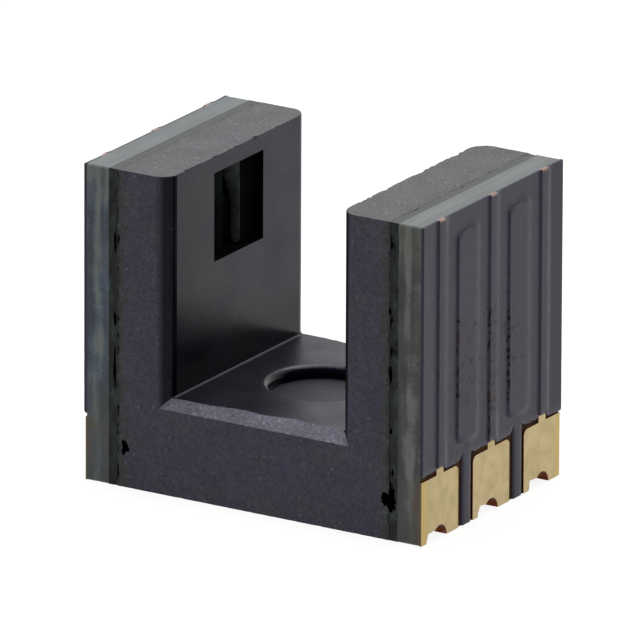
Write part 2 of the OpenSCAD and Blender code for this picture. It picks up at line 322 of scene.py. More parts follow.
@dataclass(frozen=True)
class SawnPolymer(Finish):
    """The same polymer where a diamond saw cut it: matt and hazy, with its mineral grains cut open.

    The grains are a few hundredths of a millimetre, near the width of a pixel, so they read as a soft speckle
    with a pale dot here and there. The top cut is a more neutral grey than the rest. Next to a joint the saw
    has dragged green-black adhesive over it. Broken edges, which turn away from the cut, are as dark as skin.
    """

    body_hex: str = "494659"
    haze_hex: str = "4e4f53"
    haze_share: float = 0.7
    top_hex: str = "4b4b4a"
    top_share: float = 0.8
    skin_hex: str = "0b0a13"
    rounded_off: float = 1.0
    cast_hex: str = "faf7ff"
    roughness: float = 0.52
    specular: float = 0.32
    grain_mm: float = 0.045
    contrast: float = 0.45
    relief_mm: float = 0.008
    cloud_mm: float = 0.5
    cloudiness: float = 0.18
    speck_hex: str = "918e98"
    speck_mm: float = 0.07
    speck_share: float = 0.1
    speck_reach: float = 0.4
    joint_mm: float = 2.4
    film_hex: str = "3d423d"
    film_mm: float = 0.16
    dragged_hex: str = "1c221f"
    dragged_mm: float = 0.05
    ragged_mm: float = 0.12

    def shader(self, tree: Tree) -> Node:
        """Builds the haze, the speckle, the pale grains and what was dragged out of the joint."""
        spot = Spot(tree)
        grain = add(tree, "TexNoise", {"Vector": spot.place, "Scale": per_mm(self.grain_mm), "Detail": 2.0})
        cloud = add(tree, "TexNoise", {"Vector": spot.place, "Scale": per_mm(self.cloud_mm), "Detail": 4.0})
        edge = add(tree, "TexNoise", {"Vector": spot.place, "Scale": per_mm(self.ragged_mm), "Detail": 3.0})
        fine = add(tree, "MapRange", {"Value": grain, **SPREAD, "To Min": 1 - self.contrast,
                                      "To Max": 1 + self.contrast})
        broad = add(tree, "MapRange", {"Value": cloud, **SPREAD, "To Min": 1 - self.cloudiness,
                                       "To Max": 1 + self.cloudiness})
        shade = add(tree, "Math", {0: fine, 1: broad}, operation="MULTIPLY")
        tint = add(tree, "MapRange", {"Value": cloud.outputs["Color"], "From Min": 0.4, "From Max": 0.65,
                                      "To Max": self.haze_share})
        on_top = add(tree, "MapRange", {"Value": spot.facing_z, "From Min": 0.8, "From Max": 0.95,
                                        "To Max": self.top_share})
        film = self.from_joint(tree, spot, edge, self.film_mm)
        dragged = self.from_joint(tree, spot, edge, self.dragged_mm)
        cut = layered(tree, linear(self.body_hex), (tint, linear(self.haze_hex)),
                      (on_top, linear(self.top_hex)), (film, linear(self.film_hex)),
                      (dragged, linear(self.dragged_hex)))
        cut = add(tree, "VectorMath", {0: cut, "Scale": shade}, operation="SCALE")
        speck = grains(tree, spot, self.speck_mm, self.speck_share, self.speck_reach)
        cut = layered(tree, cut, (speck, linear(self.speck_hex)))
        bump = add(tree, "Bump", {"Height": grain, "Strength": 0.4, "Distance": self.relief_mm * MM})
        return add(tree, "BsdfPrincipled", {
            "Base Color": layered(tree, linear(self.skin_hex), (self.on_cut(tree, spot), cut)),
            "Roughness": self.roughness, "IOR": POLYMER_IOR, "Specular IOR Level": self.specular,
            "Specular Tint": linear(self.cast_hex), "Normal": bump,
        })

    def on_cut(self, tree: Tree, spot: Spot) -> Node:
        """How squarely a face lies in a cut: 1 in the cut, less by rounded_off where it turns away."""
        upright = add(tree, "Math", {0: spot.facing_y}, operation="ABSOLUTE")
        level = add(tree, "Math", {0: spot.facing_z}, operation="ABSOLUTE")
        flat = add(tree, "Math", {0: upright, 1: level}, operation="MAXIMUM")
        return add(tree, "MapRange", {"Value": flat, "From Min": 0.74, "From Max": 0.97,
                                      "To Min": 1 - self.rounded_off, "To Max": 1.0})

    def from_joint(self, tree: Tree, spot: Spot, edge: Node, reach_mm: float) -> Node:
        """How much of a smear lies on the front or rear cut: 1 at the joint, 0 past its ragged reach."""
        out = add(tree, "Math", {0: spot.x}, operation="ABSOLUTE")
        inward = add(tree, "Math", {0: self.joint_mm * MM, 1: out}, operation="SUBTRACT")
        ragged = add(tree, "MapRange", {"Value": edge, **SPREAD, "To Min": 0.6 * reach_mm * MM,
                                        "To Max": -0.6 * reach_mm * MM})
        inward = add(tree, "Math", {0: inward, 1: ragged}, operation="ADD")
        share = add(tree, "MapRange", {"Value": inward, "From Min": 0.4 * reach_mm * MM,
                                       "From Max": 1.3 * reach_mm * MM, **FADE},
                    interpolation_type="SMOOTHSTEP")
        upright = add(tree, "Math", {0: spot.facing_y}, operation="ABSOLUTE")
        most = add(tree, "MapRange", {"Value": upright, "To Min": 0.35, "To Max": 0.9})
        return add(tree, "Math", {0: share, 1: most}, operation="MULTIPLY")


@dataclass(frozen=True)
class WindowWall(Finish):
    """The same polymer inside the window, from a coarse spark-eroded core: dead matt, and near black as painted
    shade for the deep window and the saw pits.

    A thin smear of clear resin gives the upper front of it a dark green cast.
    """

    # Near black: painted shade
    body_hex: str = "040306"
    smear_hex: str = "27372c"
    smear_low_mm: float = 4.1
    smear_high_mm: float = 4.5
    smear_rear_mm: float = -0.2
    smear_fade_mm: float = 0.1
    patch_mm: float = 0.2
    relief_mm: float = 0.01

    def shader(self, tree: Tree) -> Node:
        """Builds the matt wall and its smear."""
        spot = Spot(tree)
        patch = add(tree, "TexNoise", {"Vector": spot.place, "Scale": per_mm(self.patch_mm), "Detail": 3.0})
        up = add(tree, "MapRange", {"Value": spot.z, "From Min": self.smear_low_mm * MM,
                                    "From Max": self.smear_high_mm * MM})
        front = add(tree, "MapRange", {"Value": spot.y, "From Min": self.smear_rear_mm * MM,
                                       "From Max": (self.smear_rear_mm + self.smear_fade_mm) * MM, **FADE})
        smear = add(tree, "Math", {0: up, 1: front}, operation="MULTIPLY")
        smear = add(tree, "Math", {0: smear, 1: patch}, operation="MULTIPLY")
        bump = add(tree, "Bump", {"Height": patch, "Strength": 0.5, "Distance": self.relief_mm * MM})
        return add(tree, "BsdfPrincipled", {
            "Base Color": layered(tree, linear(self.body_hex), (smear, linear(self.smear_hex))),
            "Roughness": 0.85, "IOR": POLYMER_IOR, "Specular IOR Level": 0.03, "Normal": bump,
        })


@dataclass(frozen=True)
class GlassEpoxy(Finish):
    """Woven glass and epoxy laminate, sawn: pale streaks of cut yarn along the board in a grey-green resin.

    A pale yarn runs along the middle of the thickness and wanders a little. The saw has hazed the top cut
    over, and frayed and whitened the yarns just below it. The plating bath has greyed the lowest millimetre,
    and stained it brown near the outer face.
    """

    dark_hex: str
    mid_hex: str
    light_hex: str
    middle_mm: float
    half_thickness_mm: float
    top_mm: float
    yarn_at: float = 0.05
    yarn_wander: float = 0.25
    wander_mm: float = 1.0
    layer_mm: float = 0.16
    streak_mm: float = 2.2
    mottle_mm: float = 0.4
    speckle_mm: float = 0.05
    relief_mm: float = 0.006
    frayed_hex: str = "7b7d70"
    frayed_mm: float = 0.8
    frayed_share: float = 0.4
    hazed_hex: str = "5a6164"
    hazed_share: float = 0.8
    olive_hex: str = "4d5145"
    olive_share: float = 0.5
    greyed_hex: str = "63645f"
    greyed_share: float = 0.4
    stain_hex: str = "65503f"
    stain_top_mm: float = 1.15
    stain_fade_mm: float = 0.25

    def shader(self, tree: Tree) -> Node:
        """Builds the cut yarns, and lays over them what the saw and the bath have left."""
        spot = Spot(tree)
        wander = add(tree, "TexNoise", {"Vector": spot.place, "Scale": per_mm(self.wander_mm), "Detail": 2.0})
        mottle = add(tree, "TexNoise", {"Vector": spot.place, "Scale": per_mm(self.mottle_mm), "Detail": 3.0})
        depth = add(tree, "Math", {0: spot.x}, operation="ABSOLUTE")
        offset = add(tree, "Math", {0: depth, 1: self.middle_mm * MM}, operation="SUBTRACT")
        outward = add(tree, "Math", {0: offset, 1: per_mm(self.half_thickness_mm)}, operation="MULTIPLY")
        streaks = self.streaks(tree, spot, mottle)
        level = add(tree, "Math", {0: streaks, 1: self.middle_yarn(tree, outward, wander)}, operation="ADD")
        frayed = add(tree, "MapRange", {"Value": spot.z, "From Min": (self.top_mm - self.frayed_mm) * MM,
                                        "From Max": self.top_mm * MM, "To Max": self.frayed_share})
        level = add(tree, "Math", {0: frayed, 1: 0.15, 2: level}, operation="MULTIPLY_ADD")
        yarns = add(tree, "ValToRGB", {"Fac": level}, stops=[
            (0.42, linear(self.dark_hex)), (0.52, linear(self.mid_hex)), (0.62, linear(self.light_hex)),
        ])
        on_top = add(tree, "MapRange", {"Value": spot.facing_z, "From Min": 0.3, "From Max": 0.9,
                                        "To Max": self.hazed_share})
        olive = add(tree, "MapRange", {"Value": wander.outputs["Color"], "From Min": 0.45, "From Max": 0.65,
                                       "To Max": self.olive_share})
        fade_from = self.stain_top_mm - self.stain_fade_mm
        low = add(tree, "MapRange", {"Value": spot.z, "From Min": fade_from * MM,
                                     "From Max": self.stain_top_mm * MM, **FADE})
        grey = add(tree, "Math", {0: low, 1: self.greyed_share}, operation="MULTIPLY")
        outer = add(tree, "MapRange", {"Value": outward, "From Min": 0.0, "From Max": 0.7})
        stain = add(tree, "Math", {0: low, 1: outer}, operation="MULTIPLY")
        patchy = add(tree, "MapRange", {"Value": mottle, "From Min": 0.42, "From Max": 0.6})
        stain = add(tree, "Math", {0: stain, 1: patchy}, operation="MULTIPLY")
        colour = layered(tree, yarns, (frayed, linear(self.frayed_hex)), (on_top, linear(self.hazed_hex)),
                         (olive, linear(self.olive_hex)), (grey, linear(self.greyed_hex)),
                         (stain, linear(self.stain_hex)))
        bump = add(tree, "Bump", {"Height": streaks, "Strength": 0.25, "Distance": self.relief_mm * MM})
        return add(tree, "BsdfPrincipled", {
            "Base Color": colour, "Roughness": 0.45, "IOR": LAMINATE_IOR, "Specular IOR Level": 0.42,
            "Normal": bump,
        })

    def streaks(self, tree: Tree, spot: Spot, mottle: Node) -> Node:
        """Streaks that are thin across the board and long in its plane, broken up by mottle and speckle."""
        across, along = per_mm(self.layer_mm), per_mm(self.streak_mm)
        stretched = add(tree, "VectorMath", {0: spot.place, 1: (across, along, along)}, operation="MULTIPLY")
        streaks = add(tree, "TexNoise", {"Vector": stretched, "Scale": 1.0, "Detail": 1.0, "Distortion": 0.3})
        speckle = add(tree, "TexNoise", {"Vector": spot.place, "Scale": per_mm(self.speckle_mm),
                                         "Detail": 2.0})
        both = add(tree, "Mix", {"Factor": 0.4, "A": streaks, "B": mottle})
        return add(tree, "Mix", {"Factor": 0.12, "A": both, "B": speckle})

    def middle_yarn(self, tree: Tree, outward: Node, wander: Node) -> Node:
        """How much paler the middle yarn makes a place, or how much darker a place far from it is."""
        bend = add(tree, "MapRange", {"Value": wander, **SPREAD, "To Min": self.yarn_at - self.yarn_wander,
                                      "To Max": self.yarn_at + self.yarn_wander})
        apart = add(tree, "Math", {0: outward, 1: bend}, operation="SUBTRACT")
        apart = add(tree, "Math", {0: apart}, operation="ABSOLUTE")
        return add(tree, "MapRange", {"Value": apart, "From Min": 0.0, "From Max": 0.55, "To Min": 0.11,
                                      "To Max": -0.03}, interpolation_type="SMOOTHSTEP")


@dataclass(frozen=True)
class EtchedLaminate(Finish):
    """The laminate's face where the copper was etched away: dark olive-brown resin with the foil's tooth."""

    body_hex: str = "5a3f22"
    cast_hex: str = "33271a"
    patch_mm: float = 0.18
    relief_mm: float = 0.008

    def shader(self, tree: Tree) -> Node:
        """Builds a matt brown in patches."""
        spot = Spot(tree)
        patch = add(tree, "TexNoise", {"Vector": spot.place, "Scale": per_mm(self.patch_mm), "Detail": 4.0})
        colour = add(tree, "ValToRGB", {"Fac": patch}, stops=[
            (0.35, linear(self.cast_hex)), (0.65, linear(self.body_hex)),
        ])
        bump = add(tree, "Bump", {"Height": patch, "Strength": 0.5, "Distance": self.relief_mm * MM})
        return add(tree, "BsdfPrincipled", {
            "Base Color": colour, "Roughness": 0.75, "IOR": LAMINATE_IOR, "Specular IOR Level": 0.08,
            "Normal": bump,
        })


@dataclass(frozen=True)
class SolderResist(Finish):
    """Dark photo-imaged epoxy resist, cured: semi-gloss, with a fine orange peel and a faint violet cast.

    Handling has nicked it in its middle, most of all along the ridges' edges. Some nicks show the copper's
    brown through the film; the rest are painted near black, painted shade of pits that have no shape of their
    own. The smaller worn_stretch is along an axis, the further the worn patch reaches along it.
    """

    body_hex: str = "1c1a2b"
    cast_hex: str = "f6f0ff"
    cloud_mm: float = 0.7
    cloudiness: float = 0.25
    peel_mm: float = 0.14
    relief_mm: float = 0.006
    worn_hex: str = "3e3430"
    pit_shade_hex: str = "100d10"
    nick_mm: float = 0.08
    worn_at_mm: tuple[float, float, float] = (3.0, -0.2, 2.45)
    worn_reach_mm: float = 1.1
    worn_stretch: tuple[float, float, float] = (0.2, 0.65, 0.8)
    ridges_mm: tuple[float, ...] = (0.06, 0.46, 1.01)

    def shader(self, tree: Tree) -> Node:
        """Builds an even dark film with a little drift in tone and gloss, and its nicks."""
        spot = Spot(tree)
        peel = add(tree, "TexNoise", {"Vector": spot.place, "Scale": per_mm(self.peel_mm), "Detail": 3.0})
        cloud = add(tree, "TexNoise", {"Vector": spot.place, "Scale": per_mm(self.cloud_mm), "Detail": 3.0})
        pits = add(tree, "TexNoise", {"Vector": spot.place, "Scale": per_mm(self.nick_mm), "Detail": 3.0})
        tone = add(tree, "MapRange", {"Value": cloud, **SPREAD, "To Min": 1 - self.cloudiness,
                                      "To Max": 1 + self.cloudiness})
        base = add(tree, "VectorMath", {0: linear(self.body_hex)[:3], "Scale": tone}, operation="SCALE")
        nick = add(tree, "Math", {0: pits, 1: self.soundness(tree, spot)}, operation="SUBTRACT")
        nick = add(tree, "MapRange", {"Value": nick, "From Max": 0.04, "To Max": 0.85})
        lot = add(tree, "SeparateColor", {"Color": peel.outputs["Color"]})
        kind = add(tree, "MapRange", {"Value": lot.outputs["Green"], "From Min": 0.49, "From Max": 0.55})
        # The near-black nicks are painted shade of pits; the brown ones are copper showing through
        nicked = layered(tree, linear(self.pit_shade_hex), (kind, linear(self.worn_hex)))
        rough = add(tree, "MapRange", {"Value": peel, "To Min": 0.3, "To Max": 0.46})
        bump = add(tree, "Bump", {"Height": peel, "Strength": 0.2, "Distance": self.relief_mm * MM})
        return add(tree, "BsdfPrincipled", {
            "Base Color": layered(tree, base, (nick, nicked)),
            "Specular Tint": layered(tree, linear(self.cast_hex), (nick, linear(self.worn_hex))),
            "Roughness": rough, "IOR": POLYMER_IOR, "Specular IOR Level": 0.36, "Normal": bump,
        })

    def soundness(self, tree: Tree, spot: Spot) -> Node:
        """How high the noise has to peak to make a nick: least in the worn patch and on the ridges' edges."""
        away = add(tree, "VectorMath", {0: spot.place, 1: tuple(c * MM for c in self.worn_at_mm)},
                   operation="SUBTRACT")
        away = add(tree, "VectorMath", {0: away, 1: self.worn_stretch}, operation="MULTIPLY")
        reach = add(tree, "VectorMath", {0: away}, operation="LENGTH")
        level = add(tree, "MapRange", {"Value": reach, "From Min": 0.5 * self.worn_reach_mm * MM,
                                       "From Max": self.worn_reach_mm * MM, "To Min": 0.56, "To Max": 0.7})
        across = add(tree, "Math", {0: spot.y}, operation="ABSOLUTE")
        gaps = []
        for ridge in self.ridges_mm:
            gap = add(tree, "Math", {0: across, 1: ridge * MM}, operation="SUBTRACT")
            gaps.append(add(tree, "Math", {0: gap}, operation="ABSOLUTE"))
        apart = gaps[0]
        for gap in gaps[1:]:
            apart = add(tree, "Math", {0: apart, 1: gap}, operation="MINIMUM")
        crest = add(tree, "MapRange", {"Value": apart, "From Min": 0.03 * MM, "From Max": 0.09 * MM,
                                       "To Min": 0.055, "To Max": -0.025})
        return add(tree, "Math", {0: level, 1: crest}, operation="SUBTRACT")


@dataclass(frozen=True)
class Copper(Finish):
    """Etched and plated copper: pale salmon where it was just sawn, red-brown where it has tarnished.

    In the front and rear cuts the saw has smeared it with resin, which leaves it a dull brown. Copper under a
    thick oxide is hardly metallic.
    """

    half_depth_mm: float
    bright_hex: str = "8f766d"
    tarnish_hex: str = "55260f"
    tarnish_full_mm: float = 0.5
    tarnish_thin_mm: float = 1.2
    smear_hex: str = "5d5342"
    smear_mm: float = 0.004
    patch_mm: float = 0.1
    relief_mm: float = 0.012
    metallic: float = 1.0

    def shader(self, tree: Tree) -> Node:
        """Builds tarnish in patches, darkest down in the half holes, and the smear on the cut ends."""
        spot = Spot(tree)
        patch = add(tree, "TexNoise", {"Vector": spot.place, "Scale": per_mm(self.patch_mm), "Detail": 4.0})
        low = add(tree, "MapRange", {"Value": spot.z, "From Min": self.tarnish_full_mm * MM,
                                     "From Max": self.tarnish_thin_mm * MM, "To Min": 1.0, "To Max": 0.3})
        tarnish = add(tree, "Math", {0: patch, 1: low}, operation="MULTIPLY")
        tarnish = add(tree, "MapRange", {"Value": tarnish, "From Min": 0.1, "From Max": 0.45})
        depth = add(tree, "Math", {0: spot.y}, operation="ABSOLUTE")
        in_cut = add(tree, "Math", {0: depth, 1: (self.half_depth_mm - self.smear_mm) * MM},
                     operation="GREATER_THAN")
        colour = layered(tree, linear(self.bright_hex), (tarnish, linear(self.tarnish_hex)),
                         (in_cut, linear(self.smear_hex)))
        bump = add(tree, "Bump", {"Height": patch, "Strength": 0.5, "Distance": self.relief_mm * MM})
        return add(tree, "BsdfPrincipled", {
            "Base Color": colour, "Metallic": self.metallic, "Roughness": 0.45, "Normal": bump,
        })


@dataclass(frozen=True)
class ImmersionGold(Finish):
    """Immersion gold over nickel on a solder pad: pale and satin, faintly mottled by the copper's grain.

    Close to the front and rear cuts it turns a deeper yellow, painted shade of the pad rolling over towards the
    cut, which its shape does only in part.
    """

    half_depth_mm: float
    pale_hex: str = "bba980"
    deep_hex: str = "ac9b70"
    mottle_mm: float = 0.22
    tooth_mm: float = 0.035
    relief_mm: float = 0.005
    roll_shade_hex: str = "b9a067"
    roll_shade_from_mm: float = 0.22
    roll_shade_to_mm: float = 0.06

    def shader(self, tree: Tree) -> Node:
        """Builds a satin metal with a soft mottle and a fine tooth."""
        spot = Spot(tree)
        mottle = add(tree, "TexNoise", {"Vector": spot.place, "Scale": per_mm(self.mottle_mm), "Detail": 4.0})
        tooth = add(tree, "TexNoise", {"Vector": spot.place, "Scale": per_mm(self.tooth_mm), "Detail": 2.0})
        gold = add(tree, "ValToRGB", {"Fac": mottle}, stops=[
            (0.35, linear(self.deep_hex)), (0.62, linear(self.pale_hex)),
        ])
        # The deeper yellow near the cuts is painted shade of the rolled-over edge
        depth = add(tree, "Math", {0: spot.y}, operation="ABSOLUTE")
        start, end = self.half_depth_mm - self.roll_shade_from_mm, self.half_depth_mm - self.roll_shade_to_mm
        near = add(tree, "MapRange", {"Value": depth, "From Min": start * MM, "From Max": end * MM},
                   interpolation_type="SMOOTHSTEP")
        rough = add(tree, "MapRange", {"Value": mottle, "To Min": 0.4, "To Max": 0.52})
        bump = add(tree, "Bump", {"Height": tooth, "Strength": 0.25, "Distance": self.relief_mm * MM})
        return add(tree, "BsdfPrincipled", {
            "Base Color": layered(tree, gold, (near, linear(self.roll_shade_hex))), "Metallic": 1.0,
            "Roughness": rough, "Normal": bump,
        })


@dataclass(frozen=True)
class BondingAdhesive(Finish):
    """Dark epoxy adhesive, squeezed out and sawn: green-black and uneven, with a few pale grains of filler.

    On the top cut the saw has left it hazed to a grey-green.
    """

    dark_hex: str = "040605"
    green_hex: str = "1f2723"
    pale_hex: str = "4c544c"
    hazed_hex: str = "4c4e4c"
    hazed_share: float = 0.9
    patch_mm: float = 0.13
    relief_mm: float = 0.02

    def shader(self, tree: Tree) -> Node:
        """Builds ragged patches from black to grey-green, long in Z."""
        spot = Spot(tree)
        long = add(tree, "VectorMath", {0: spot.place, 1: (1.0, 1.0, 0.5)}, operation="MULTIPLY")
        patch = add(tree, "TexNoise", {"Vector": long, "Scale": per_mm(self.patch_mm), "Detail": 4.0,
                                       "Roughness": 0.6})
        glue = add(tree, "ValToRGB", {"Fac": patch}, stops=[
            (0.4, linear(self.dark_hex)), (0.55, linear(self.green_hex)), (0.72, linear(self.pale_hex)),
        ])
        upward = add(tree, "MapRange", {"Value": spot.facing_z, "From Min": 0.5, "From Max": 0.8,
                                        "To Max": self.hazed_share})
        bump = add(tree, "Bump", {"Height": patch, "Strength": 0.6, "Distance": self.relief_mm * MM})
        return add(tree, "BsdfPrincipled", {
            "Base Color": layered(tree, glue, (upward, linear(self.hazed_hex))),
            "Roughness": 0.5, "IOR": 1.53, "Specular IOR Level": 0.2, "Normal": bump,
        })


@dataclass(frozen=True)
class ClearEpoxy(Finish):
    """Clear transfer-moulded epoxy: glassy, with a faint green-grey body and the mould's slight waviness."""

    body_hex: str = "b9c8bf"
    wave_mm: float = 0.25
    relief_mm: float = 0.01

    def shader(self, tree: Tree) -> Node:
        """Builds a clear body."""
        spot = Spot(tree)
        wave = add(tree, "TexNoise", {"Vector": spot.place, "Scale": per_mm(self.wave_mm), "Detail": 2.0})
        bump = add(tree, "Bump", {"Height": wave, "Strength": 0.1, "Distance": self.relief_mm * MM})
        return add(tree, "BsdfPrincipled", {
            "Base Color": linear(self.body_hex), "Roughness": 0.12, "IOR": EPOXY_IOR,
            "Transmission Weight": 0.92, "Normal": bump,
        })


@dataclass(frozen=True)
class MilkyEpoxy(Finish):
    """A thin flash of the clear epoxy, scattered milky by its micro-cracks: a dim grey-green film."""

    body_hex: str = "59605b"
    cloud_mm: float = 0.2
    cloudiness: float = 0.4
    shade_start_mm: float = 1.66
    shade_full_mm: float = 1.81
    shaded_share: float = 0.25

    def shader(self, tree: Tree) -> Node:
        """Builds a soft film whose tone drifts a little and darkens with depth into the slit, away from the
        slot: painted shade.
        """
        spot = Spot(tree)
        cloud = add(tree, "TexNoise", {"Vector": spot.place, "Scale": per_mm(self.cloud_mm), "Detail": 3.0})
        # body: 1 near the slot, falling to shaded_share deeper in, as painted shade
        depth = add(tree, "Math", {0: spot.x}, operation="ABSOLUTE")
        body = add(tree, "MapRange", {"Value": depth, "From Min": self.shade_start_mm * MM,
                                      "From Max": self.shade_full_mm * MM, "To Min": 1.0,
                                      "To Max": self.shaded_share})
        tone = add(tree, "MapRange", {"Value": cloud, **SPREAD, "To Min": 1 - self.cloudiness,
                                      "To Max": 1 + self.cloudiness})
        tone = add(tree, "Math", {0: tone, 1: body}, operation="MULTIPLY")
        base = add(tree, "VectorMath", {0: linear(self.body_hex)[:3], "Scale": tone}, operation="SCALE")
        return add(tree, "BsdfPrincipled", {
            "Base Color": base, "Roughness": 0.6, "IOR": EPOXY_IOR, "Specular IOR Level": 0.1,
        })


@dataclass(frozen=True)
class DicedCrystal(Finish):
    """A diced semiconductor chip: dark and glassy, with the faint marks of the dicing saw."""

    body_hex: str = "3a3c48"
    mark_mm: float = 0.03

    def shader(self, tree: Tree) -> Node:
        """Builds a dark polished body with faint saw marks."""
        spot = Spot(tree)
        marks = add(tree, "TexNoise", {"Vector": spot.place, "Scale": per_mm(self.mark_mm), "Detail": 3.0})
        tone = add(tree, "MapRange", {"Value": marks, "To Min": 0.8, "To Max": 1.2})
        base = add(tree, "VectorMath", {0: linear(self.body_hex)[:3], "Scale": tone}, operation="SCALE")
        return add(tree, "BsdfPrincipled", {"Base Color": base, "Roughness": 0.25, "IOR": 3.4})


@dataclass(frozen=True)
class DrawnGold(Finish):
    """Drawn gold bond wire: bright, with a faint drawing tooth."""

    body_hex: str = "e0b54a"
    tooth_mm: float = 0.01

    def shader(self, tree: Tree) -> Node:
        """Builds a bright metal whose gloss drifts a little."""
        spot = Spot(tree)
        tooth = add(tree, "TexNoise", {"Vector": spot.place, "Scale": per_mm(self.tooth_mm), "Detail": 2.0})
        rough = add(tree, "MapRange", {"Value": tooth, "To Min": 0.18, "To Max": 0.34})
        return add(tree, "BsdfPrincipled", {
            "Base Color": linear(self.body_hex), "Metallic": 1.0, "Roughness": rough,
        })


def box_mm(node: str) -> tuple[Vector, Vector]:
    """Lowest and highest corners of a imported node, in millimetres."""
    low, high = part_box(node)
    return low / MM, high / MM


def solid_copy(node: str) -> bmesh.types.BMesh:
    """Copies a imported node's mesh, in millimetres, with its flat faces joined.

    Args:
        node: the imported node's name.

    Returns:
        A mesh whose flat regions are single faces wherever they have no hole.
    """
    bm = bmesh.new()
    bm.from_mesh(bpy.data.objects[node].data)
    bmesh.ops.scale(bm, vec=(1 / MM,) * 3, verts=bm.verts)
    bmesh.ops.remove_doubles(bm, verts=bm.verts, dist=WELD)
    bmesh.ops.dissolve_limit(bm, angle_limit=math.radians(FLAT_DEG), verts=bm.verts, edges=bm.edges)
    for face in bm.faces:
        face.material_index = 0
    return bm


def carved(bm: bmesh.types.BMesh, cutter: bmesh.types.BMesh, finishes: int) -> bmesh.types.BMesh:
    """Cuts one closed mesh out of another.

    Args:
        bm: the mesh that is cut, which is freed.
        cutter: the mesh that cuts, which is freed; the cut keeps its material numbers.
        finishes: how many material numbers there are.

    Returns:
        What is left.
    """
    objects = []
    for part, name in ((bm, "carved_part"), (cutter, "carving_part")):
        mesh = bpy.data.meshes.new(name)
        part.to_mesh(mesh)
        part.free()
        for _ in range(finishes):
            mesh.materials.append(None)
        made = bpy.data.objects.new(name, mesh)
        bpy.context.scene.collection.objects.link(made)
        objects.append(made)
    target, tool = objects
    modifier = target.modifiers.new("cut", "BOOLEAN")
    modifier.operation = "DIFFERENCE"
    modifier.solver = "MANIFOLD"
    modifier.object = tool
    result = bpy.data.meshes.new_from_object(target.evaluated_get(bpy.context.evaluated_depsgraph_get()))
    left = bmesh.new()
    left.from_mesh(result)
    bpy.data.meshes.remove(result)
    for made in objects:
        mesh = made.data
        bpy.data.objects.remove(made)
        bpy.data.meshes.remove(mesh)
    bmesh.ops.remove_doubles(left, verts=left.verts, dist=CUT_WELD)
    return left


def finish_mesh(name: str, bm: bmesh.types.BMesh, finishes: Sequence[Finish],
                sharp_deg: float = 35) -> bpy.types.Object:
    """Turns a mesh in millimetres to a finished piece in metres that rides on the body.

    Args:
        name: the piece's name.
        bm: its mesh, which is freed.
        finishes: what its faces are made of, by their material numbers.
        sharp_deg: edges that turn more than this stay sharp.

    Returns:
        The new object.
    """
    bmesh.ops.scale(bm, vec=(MM,) * 3, verts=bm.verts)
    bmesh.ops.recalc_face_normals(bm, faces=bm.faces)
    for edge in bm.edges:
        edge.smooth = len(edge.link_faces) == 2 and edge.calc_face_angle(0.0) < math.radians(sharp_deg)
    for face in bm.faces:
        face.smooth = face.calc_area() < LARGE_FACE * MM * MM
    mesh = bpy.data.meshes.new(name)
    bm.to_mesh(mesh)
    bm.free()
    for finish in finishes:
        mesh.materials.append(finish.material())
    piece = bpy.data.objects.new(name, mesh)
    bpy.context.scene.collection.objects.link(piece)
    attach(piece, "root")
    LOG.info("%s: %d faces", name, len(mesh.polygons))
    return piece


def soften(bm: bmesh.types.BMesh, width: float, fray: Callable[[Vector], float] | None = None,
           keep: Callable[[bmesh.types.BMEdge], bool] = lambda edge: True, step: float = 0.05) -> None:
    """Breaks the convex edges of a solid, and frays them as a saw does.

    Args:
        bm: the solid, in millimetres.
        width: width of the break.
        fray: how far the sides of the break wander in the faces beside it, by place.
        keep: says which convex edges are broken.
        step: distance between two points of the fraying.
    """

    def broken() -> list[bmesh.types.BMEdge]:
        """The convex edges that get a break."""
        turned = math.radians(CONVEX_DEG)
        return [e for e in bm.edges if e.is_convex and e.calc_face_angle(0.0) > turned and keep(e)]

    if fray:
        for edge in broken():
            cuts = int(edge.calc_length() / step) - 1
            if cuts > 0:
                bmesh.ops.bisect_edges(bm, edges=[edge], cuts=cuts)
    made = bmesh.ops.bevel(bm, geom=broken(), offset=width, offset_type="OFFSET", segments=1, profile=0.5,
                           affect="EDGES", clamp_overlap=True)
    if not fray:
        return
    bm.normal_update()
    strips = {f for f in made["faces"] if len(f.verts) == 4}
    pushes: list[tuple[bmesh.types.BMVert, Vector]] = []
    for vert in {v for f in strips for v in f.verts}:
        beside = [f for f in vert.link_faces if f not in strips]
        mine = [f for f in vert.link_faces if f in strips]
        if len(beside) != 1 or len(mine) != 2 or mine[0].normal.dot(mine[1].normal) < IN_LINE:
            continue
        away = mine[0].normal.copy()
        away -= beside[0].normal * away.dot(beside[0].normal)
        pushes.append((vert, -away.normalized()))
    for vert, away in pushes:
        broad, fine = noise.noise(vert.co * 9.0), noise.noise(vert.co * 31.0)
        vert.co += away * max(-0.5 * width, fray(vert.co) * (broad + 0.7 * fine))


@dataclass(frozen=True)
class Void:
    """A pit that the front saw cut opened beside a bonded joint.

    Its sizes are in millimetres. The more points it has, the more it is a triangle, with one tip at tip_deg.
    """

    side: Side
    inset: float
    height: float
    half_width: float
    half_height: float
    tip_deg: float = 90
    points: float = 0.0


# Two large voids low on the joints and the thin ones above them
VOIDS = (
    Void(Side.DETECTOR, 2.26, 0.64, 0.06, 0.11, tip_deg=110, points=0.3),
    Void(Side.DETECTOR, 2.45, 1.85, 0.022, 0.36),
    Void(Side.DETECTOR, 2.445, 2.63, 0.026, 0.12),
    Void(Side.DETECTOR, 2.445, 3.84, 0.026, 0.17),
    Void(Side.EMITTER, 2.40, 0.64, 0.11, 0.17, tip_deg=180, points=0.35),
    Void(Side.EMITTER, 2.45, 1.07, 0.02, 0.06),
    Void(Side.EMITTER, 2.42, 1.72, 0.022, 0.05),
    Void(Side.EMITTER, 2.41, 2.62, 0.028, 0.14),
    Void(Side.EMITTER, 2.40, 3.60, 0.02, 0.07),
)


